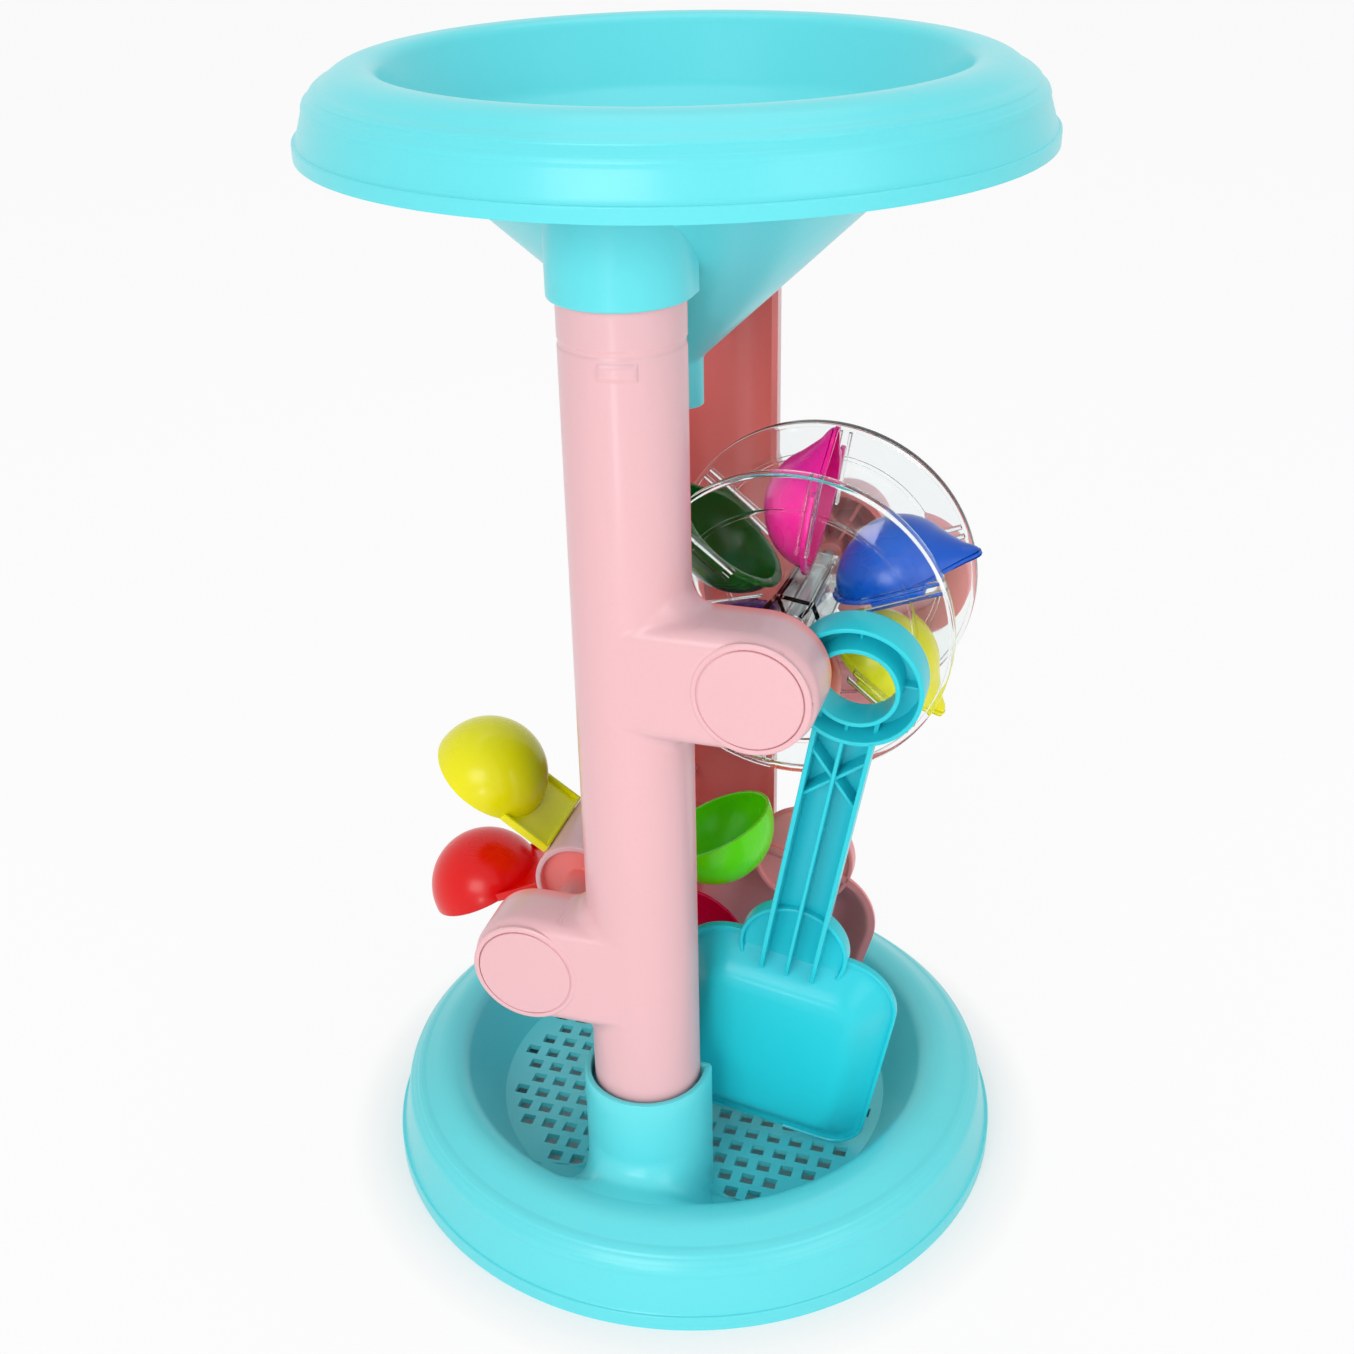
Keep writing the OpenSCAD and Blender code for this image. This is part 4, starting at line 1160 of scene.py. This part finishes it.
def head_deep(x, z, width):
    """Distance in from a head's outline, a box with round corners whose top radius is the
    larger."""
    r = np.where(z > BLADE_H / 2, TOP_ROUND, FOOT_ROUND)
    qx, qz = np.abs(x) - (width / 2 - r), np.abs(z - BLADE_H / 2) - (BLADE_H / 2 - r)
    out = np.hypot(np.maximum(qx, 0), np.maximum(qz, 0)) + np.minimum(np.maximum(qx, qz), 0) - r
    return np.maximum(-out, 0)


def head_face(x, z, width):
    """Y of a head's belly: a flat flange, a slanted wall that is longer at the toe, a rounded edge
    and a belly that swells in the middle."""
    long = HEAD_WALL + TOE_WALL * smoothstep(1 - z / TOE_H)
    rise = np.clip((head_deep(x, z, width) - FLANGE_W) / long, 0, None)
    swell = np.minimum(rise, 1) - np.maximum(0.3 - np.abs(rise - 1), 0) ** 2 / 1.2
    high, across = (z - BLADE_H / 2) / (BLADE_H / 2), 2 * x / width
    crown = 1 - 0.13 * np.minimum(high ** 2 + across ** 4, 1)
    return -(TOOL_T + (DISH_D - TOOL_T) * swell * crown)


def head_sheet(width, x, low, high, rows=44):
    """A head, or one strip of it, as columns at given x from a low to a high line of heights."""
    v = (1 - np.cos(np.linspace(0, pi, rows))) / 2
    z = low[None] + (high - low)[None] * v[:, None]
    xx = np.broadcast_to(x, z.shape)
    y = head_face(xx, z, width)
    front = np.stack([xx, y, z], -1)
    back = np.stack([xx, np.minimum(y + TOOL_T, 0), z], -1)
    return slab(front, back)


def head_bottom(x, width):
    """Height of a head's lower edge, which turns up in its round corners."""
    side = np.maximum(np.abs(x) - (width / 2 - FOOT_ROUND), 0)
    return FOOT_ROUND - np.sqrt(np.maximum(FOOT_ROUND ** 2 - side ** 2, 0))


def head_top(x, width):
    """Height of a head's upper edge, which turns down in its round corners."""
    side = np.maximum(np.abs(x) - (width / 2 - TOP_ROUND), 0)
    return BLADE_H - TOP_ROUND + np.sqrt(np.maximum(TOP_ROUND ** 2 - side ** 2, 0))


def head_lip(width, lip):
    """A low lip along a head's outline: a small round profile carried along its sides and top."""
    w = width / 2
    corners = [(30 - w, 0), (-w, 0), (-w, BLADE_H), (w, BLADE_H), (w, 0), (w - 30, 0)]
    outline = rounded(corners, [0, FOOT_ROUND, TOP_ROUND, TOP_ROUND, FOOT_ROUND, 0], 14)
    line, _ = refined(outline, 2.0)
    normal = sides(line)
    inward = normal * np.sign((normal * (np.array([0, BLADE_H / 2]) - line)).sum(1))[:, None]
    front = -TOOL_T - lip
    profile = ((0, 0), (0, front + 0.4), (0.4, front), (1.0, front), (1.4, front + 0.4),
               (1.4, -0.4))
    rows = [np.insert(line + inward * d, 1, y, axis=1) for d, y in profile]
    return sheet(np.stack(rows), wrap_rows=True)


def head_parts(width, lip, slots):
    """A whole head, or with slots a comb: one sheet above the slots and one strip for each tine."""
    w = width / 2
    x = w * np.sin(np.linspace(-pi / 2, pi / 2, 57))
    if not slots:
        whole = head_sheet(width, x, head_bottom(x, width), head_top(x, width))
        return whole + [head_lip(width, lip)]
    parts = head_sheet(width, x, np.full_like(x, SLOT_H), head_top(x, width), 34)
    step = width / (slots + 1)
    middles = (np.arange(slots) - (slots - 1) / 2) * step
    lefts = np.concatenate([[-w], middles + SLOT_W / 2])
    rights = np.concatenate([middles - SLOT_W / 2, [w]])
    for a, b in zip(lefts, rights):
        strip = np.linspace(a, b, 12)
        root = np.full_like(strip, SLOT_H)
        parts += head_sheet(width, strip, head_bottom(strip, width), root, 18)
    return parts


def bar(x, width, stations):
    """A bar of a given width whose front and back follow stations of (height, front, back), with
    soft edges."""
    w, r = width / 2, 0.25
    rows = []
    for z, front, back in stations:
        corners = ((-w, back - r), (-w, front + r), (r - w, front), (w - r, front),
                   (w, front + r), (w, back - r), (w - r, back), (r - w, back))
        rows.append([(x + across, y, z) for across, y in corners])
    grid = np.array(rows)
    ends = [sheet(np.stack([g[[0, 1, 2, 3]], g[[7, 6, 5, 4]]])) for g in (grid[0], grid[-1])]
    return [sheet(grid, wrap_columns=True)] + ends


def hump_parts():
    """Round hump over a head's top edge, behind the handle's foot: a thin plate with a rim round
    it."""
    wall, back, front = HUMP_R - TOOL_T, -1.6, -3.4
    points = [(0, back), (wall, back), (wall, 0), (HUMP_R, 0), (HUMP_R, -HUMP_D), (wall, -HUMP_D),
              (wall, front), (0, front)]
    profile = rounded(points, [0, 0.3, 0.3, 0.4, 0.5, 0.5, 0.8, 0], 4)
    return [lathe(profile, 96, "y", (0, BLADE_H))]


def handle_parts():
    """Channel of a handle: a back plate, two sides and a middle rib that run out on the belly below
    and end at the ring's inner wall above, and two crossed ribs."""
    foot, top = BLADE_H - 9, RING_UP - (RING_R + RING_HOLE_R) / 2
    w, back = HANDLE_W / 2, -HANDLE_BACK - 0.06
    parts = block((0.3 - w, -HANDLE_BACK - TOOL_T, foot + 1), (w - 0.3, back - 0.06, top), 0.3)
    for x in (TOOL_T / 2 - w, 0, w - TOOL_T / 2):
        ring_out = RING_UP - sqrt(RING_R ** 2 - x ** 2)
        ring_in = RING_UP - sqrt((RING_HOLE_R + 1) ** 2 - x ** 2)
        front = (0.4 if x == 0 else 0) - GRIP_D
        parts += bar(x, TOOL_T if x else RIB_T, [
            (foot, -9.4, -4), (foot + 2.5, -11.4, -3), (foot + 5, -12.8, -2.4),
            (foot + 9, front + 0.3, back), (foot + 14, front, back), (ring_out + 0.8, front, back),
            (ring_out + 1.6, -8.5, back), (ring_in, -8.5, back)])
    span = HANDLE_W - TOOL_T
    reach, lean = hypot(CROSS_L, span), atan2(span, CROSS_L)
    rib = block((-RIB_T / 2, -GRIP_D * 0.72, -reach / 2), (RIB_T / 2, -HANDLE_BACK, reach / 2), 0.3)
    for side in (-1, 1):
        parts += turned(rib, -side * lean, (0, RING_UP - CROSS_DROP))
    return parts


def ring_parts():
    """Ring grip: a round channel open at the front, with three thin ribs across it."""
    back, floor = -HANDLE_BACK, -HANDLE_BACK - TOOL_T
    outer, inner = RING_R - TOOL_T, RING_HOLE_R + TOOL_T
    points = [(RING_R, back), (RING_R, -GRIP_D), (outer, -GRIP_D), (outer, floor), (inner, floor),
              (inner, -GRIP_D), (RING_HOLE_R, -GRIP_D), (RING_HOLE_R, back)]
    line = rounded(points, [0.6, 0.4, 0.4, 0.4, 0.4, 0.4, 0.4, 0.6], 4)
    parts = [lathe(line, 112, "y", (0, RING_UP))]
    rib = block((RING_HOLE_R + 0.5, -GRIP_D * 0.5, -0.5), (RING_R - 0.5, back - 0.5, 0.5), 0.2)
    for turn in RING_RIBS:
        parts += turned(rib, radians(turn), (0, RING_UP))
    return parts


def tool_place(x, lean, width):
    """Stands a tool in the tray: leaned along X, tilted towards its post, and set on the sieve."""
    lean, tilt = radians(lean), radians(TOOL_TILT)
    low = FOOT_ROUND * cos(lean) - (width / 2 - FOOT_ROUND) * sin(lean) - FOOT_ROUND
    lift = FLOOR_Z + 0.3 - low * cos(tilt) + TOOL_T * sin(tilt)

    def change(p):
        a = p[:, 0] * cos(lean) + p[:, 2] * sin(lean)
        c = -p[:, 0] * sin(lean) + p[:, 2] * cos(lean)
        return np.stack([x + a, -TOOL_Y + p[:, 1] * cos(tilt) - c * sin(tilt),
                         lift + p[:, 1] * sin(tilt) + c * cos(tilt)], 1)
    return change


def tool_parts(width, lip, slots):
    """A whole tool, upright, with the middle of its lower edge at the origin."""
    return head_parts(width, lip, slots) + hump_parts() + handle_parts() + ring_parts()


def build_tools(settings):
    """The shovel in front and the rake behind, each stood in the tray."""
    lip = settings.lip / MM
    cyan = plastic("Cyan plastic", settings.cyan, TOOL_ROUGHNESS)
    rose = plastic("Rose plastic", settings.rose, TOOL_ROUGHNESS)
    shovel = moved(tool_parts(BLADE_W, lip, 0), tool_place(SHOVEL_X, SHOVEL_LEAN, BLADE_W))
    piece("shovel_tool", shovel, cyan, "shovel", ["shovel"])
    rake = moved(tool_parts(RAKE_W, lip, RAKE_SLOTS), tool_place(RAKE_X, RAKE_LEAN, RAKE_W))
    piece("rake_tool", moved(rake, flipped), rose, "rake", ["rake"])


# Studio

def seen_directly(nodes, links):
    """One for the camera's own rays, and for those that metal and glass send on; nothing for the
    light that falls on the object."""
    rays = nodes.new("ShaderNodeLightPath").outputs
    direct = math_node(nodes, links, "MAXIMUM", rays["Is Camera Ray"], rays["Is Glossy Ray"])
    return math_node(nodes, links, "MAXIMUM", direct, rays["Is Transmission Ray"])


def turned_to(x, y, z, place):
    """Matrix of a camera or lamp from its own axes and its place."""
    return Matrix([(x[k], y[k], z[k], place[k]) for k in range(3)] + [(0, 0, 0, 1)])


def set_camera(settings):
    """Camera at the photograph's place and angle."""
    pitch, yaw, roll = CAMERA_TURN
    forward = np.array([sin(yaw) * cos(pitch), cos(yaw) * cos(pitch), -sin(pitch)])
    right = np.array([cos(yaw), -sin(yaw), 0.0])
    up = np.cross(right, forward)
    right, up = cos(roll) * right + sin(roll) * up, -sin(roll) * right + cos(roll) * up
    data = bpy.data.cameras.new("Camera")
    data.lens = settings.focal
    data.sensor_width = 36
    data.clip_start = 0.01
    camera = bpy.data.objects.new("Camera", data)
    camera.matrix_world = turned_to(right, up, -forward, CAMERA_PLACE)
    bpy.context.scene.collection.objects.link(camera)
    bpy.context.scene.camera = camera
    bpy.context.scene.view_settings.view_transform = "Standard"


def floor_material(tint):
    """Pale floor that reads white round the toy, and keeps its own shade under the tray."""
    mat = bpy.data.materials.new("Pale floor")
    mat.use_nodes = True
    nodes, links = mat.node_tree.nodes, mat.node_tree.links
    shader = nodes["Principled BSDF"]
    shader.inputs["Base Color"].default_value = (*tint, 1)
    shader.inputs["Roughness"].default_value = 0.8
    white, mix = nodes.new("ShaderNodeEmission"), nodes.new("ShaderNodeMixShader")
    place, far = nodes.new("ShaderNodeTexCoord"), nodes.new("ShaderNodeVectorMath")
    fade = nodes.new("ShaderNodeMapRange")
    far.operation = "LENGTH"
    fade.inputs["From Min"].default_value, fade.inputs["From Max"].default_value = SHADE_R
    fade.inputs["To Max"].default_value = 1 - SHADE_KEPT
    links.new(place.outputs["Object"], far.inputs[0])
    links.new(far.outputs["Value"], fade.inputs["Value"])
    share = math_node(nodes, links, "MULTIPLY", seen_directly(nodes, links), fade.outputs["Result"])
    links.new(share, mix.inputs[0])
    links.new(shader.outputs[0], mix.inputs[1])
    links.new(white.outputs[0], mix.inputs[2])
    links.new(mix.outputs[0], nodes["Material Output"].inputs["Surface"])
    return mat


def set_floor(settings):
    """A large square at z = 0."""
    mesh = bpy.data.meshes.new("floor")
    corners = [(x * FLOOR_HALF, y * FLOOR_HALF, 0) for x, y in ((-1, -1), (1, -1), (1, 1), (-1, 1))]
    mesh.from_pydata(corners, [], [(0, 1, 2, 3)])
    mesh.materials.append(floor_material(settings.floor))
    obj = bpy.data.objects.new("floor", mesh)
    bpy.context.scene.collection.objects.link(obj)


def set_surround(settings):
    """White all round where it is seen, and weaker for the light that it gives."""
    world = bpy.data.worlds.new("Studio")
    world.use_nodes = True
    bpy.context.scene.world = world
    nodes, links = world.node_tree.nodes, world.node_tree.links
    back, level = nodes["Background"], nodes.new("ShaderNodeMapRange")
    back.inputs["Color"].default_value = (1, 1, 1, 1)
    level.inputs["To Min"].default_value = settings.surround
    level.inputs["To Max"].default_value = WHITE
    links.new(seen_directly(nodes, links), level.inputs["Value"])
    links.new(level.outputs["Result"], back.inputs["Strength"])


def set_lamps(settings):
    """Soft rectangular lamps that face the toy."""
    for name, place, wide, tall, power in LAMPS:
        data = bpy.data.lights.new(name, "AREA")
        data.shape = "RECTANGLE"
        data.size, data.size_y = wide, tall
        data.energy = power * settings.light
        lamp = bpy.data.objects.new(name, data)
        lamp.visible_camera = False
        z = unit(np.array(place) - np.array(LAMPS_FACE))
        x = unit(np.cross([0, 0, 1.0], z))
        lamp.matrix_world = turned_to(x, np.cross(z, x), z, place)
        bpy.context.scene.collection.objects.link(lamp)


def build_studio(settings):
    """Camera, pale floor, white surround and soft lamps."""
    set_camera(settings)
    set_floor(settings)
    set_surround(settings)
    set_lamps(settings)


# Operators

class BuildTray(bpy.types.Operator):
    """Turn the tray's rim, cut its sieve floor and raise its collars."""
    bl_idname = "sand_wheel.build_tray"
    bl_label = "Tray"

    def execute(self, context):
        build_tray(context.scene.sand_wheel_shell)
        return {"FINISHED"}


class BuildHopper(bpy.types.Operator):
    """Turn the hopper's rim, funnel and nozzle, with the collars over the posts."""
    bl_idname = "sand_wheel.build_hopper"
    bl_label = "Hopper"

    def execute(self, context):
        build_hopper(context.scene.sand_wheel_shell)
        return {"FINISHED"}


class BuildPosts(bpy.types.Operator):
    """Make both posts with their arms, bosses and caps, and finish the pins."""
    bl_idname = "sand_wheel.build_posts"
    bl_label = "Posts"

    def execute(self, context):
        build_posts(context.scene.sand_wheel_posts)
        return {"FINISHED"}


class BuildDiscs(bpy.types.Operator):
    """Turn the clear discs, set their ribs and finish the clear hub."""
    bl_idname = "sand_wheel.build_discs"
    bl_label = "Clear discs"

    def execute(self, context):
        build_discs(context.scene.sand_wheel_wheels)
        return {"FINISHED"}


class BuildCups(bpy.types.Operator):
    """Make the drop-shaped cups of the upper wheel."""
    bl_idname = "sand_wheel.build_cups"
    bl_label = "Cups"

    def execute(self, context):
        build_cups(context.scene.sand_wheel_wheels)
        return {"FINISHED"}


class BuildScoops(bpy.types.Operator):
    """Make the drum and the scoops of the lower wheel."""
    bl_idname = "sand_wheel.build_scoops"
    bl_label = "Scoops"

    def execute(self, context):
        build_scoops(context.scene.sand_wheel_wheels, context.scene.sand_wheel_posts)
        return {"FINISHED"}


class BuildTools(bpy.types.Operator):
    """Make the shovel and the rake, and stand them in the tray."""
    bl_idname = "sand_wheel.build_tools"
    bl_label = "Shovel and rake"

    def execute(self, context):
        build_tools(context.scene.sand_wheel_tools)
        return {"FINISHED"}


class SetStudio(bpy.types.Operator):
    """Set the camera, the floor, the surround and the lamps."""
    bl_idname = "sand_wheel.set_studio"
    bl_label = "Studio"

    def execute(self, context):
        build_studio(context.scene.sand_wheel_studio)
        return {"FINISHED"}


OPERATORS = (BuildTray, BuildHopper, BuildPosts, BuildDiscs, BuildCups, BuildScoops, BuildTools,
             SetStudio)
SETTINGS = (("sand_wheel_shell", ShellSettings), ("sand_wheel_posts", PostSettings),
            ("sand_wheel_wheels", WheelSettings), ("sand_wheel_tools", ToolSettings),
            ("sand_wheel_studio", StudioSettings))


class SandWheelPanel(bpy.types.Panel):
    """Lists the pieces and their settings."""
    bl_idname = "VIEW3D_PT_sand_wheel"
    bl_label = "Sand wheel"
    bl_space_type = "VIEW_3D"
    bl_region_type = "UI"
    bl_category = "Sand wheel"

    def draw(self, context):
        for name, group in SETTINGS:
            box = self.layout.box()
            for key in group.__annotations__:
                box.prop(getattr(context.scene, name), key)
        for operator in OPERATORS:
            self.layout.operator(operator.bl_idname)


CLASSES = tuple(group for _, group in SETTINGS) + OPERATORS + (SandWheelPanel,)


def register():
    """Adds the settings, the operators and the panel."""
    for item in CLASSES:
        bpy.utils.register_class(item)
    for name, group in SETTINGS:
        setattr(bpy.types.Scene, name, PointerProperty(type=group))


def unregister():
    """Takes them away again."""
    for name, _ in SETTINGS:
        delattr(bpy.types.Scene, name)
    for item in reversed(CLASSES):
        bpy.utils.unregister_class(item)


def main():
    """Runs every operator in order."""
    register()
    for operator in OPERATORS:
        group, name = operator.bl_idname.split(".")
        getattr(getattr(bpy.ops, group), name)()
    bpy.context.view_layer.update()


if __name__ == "__main__":
    main()
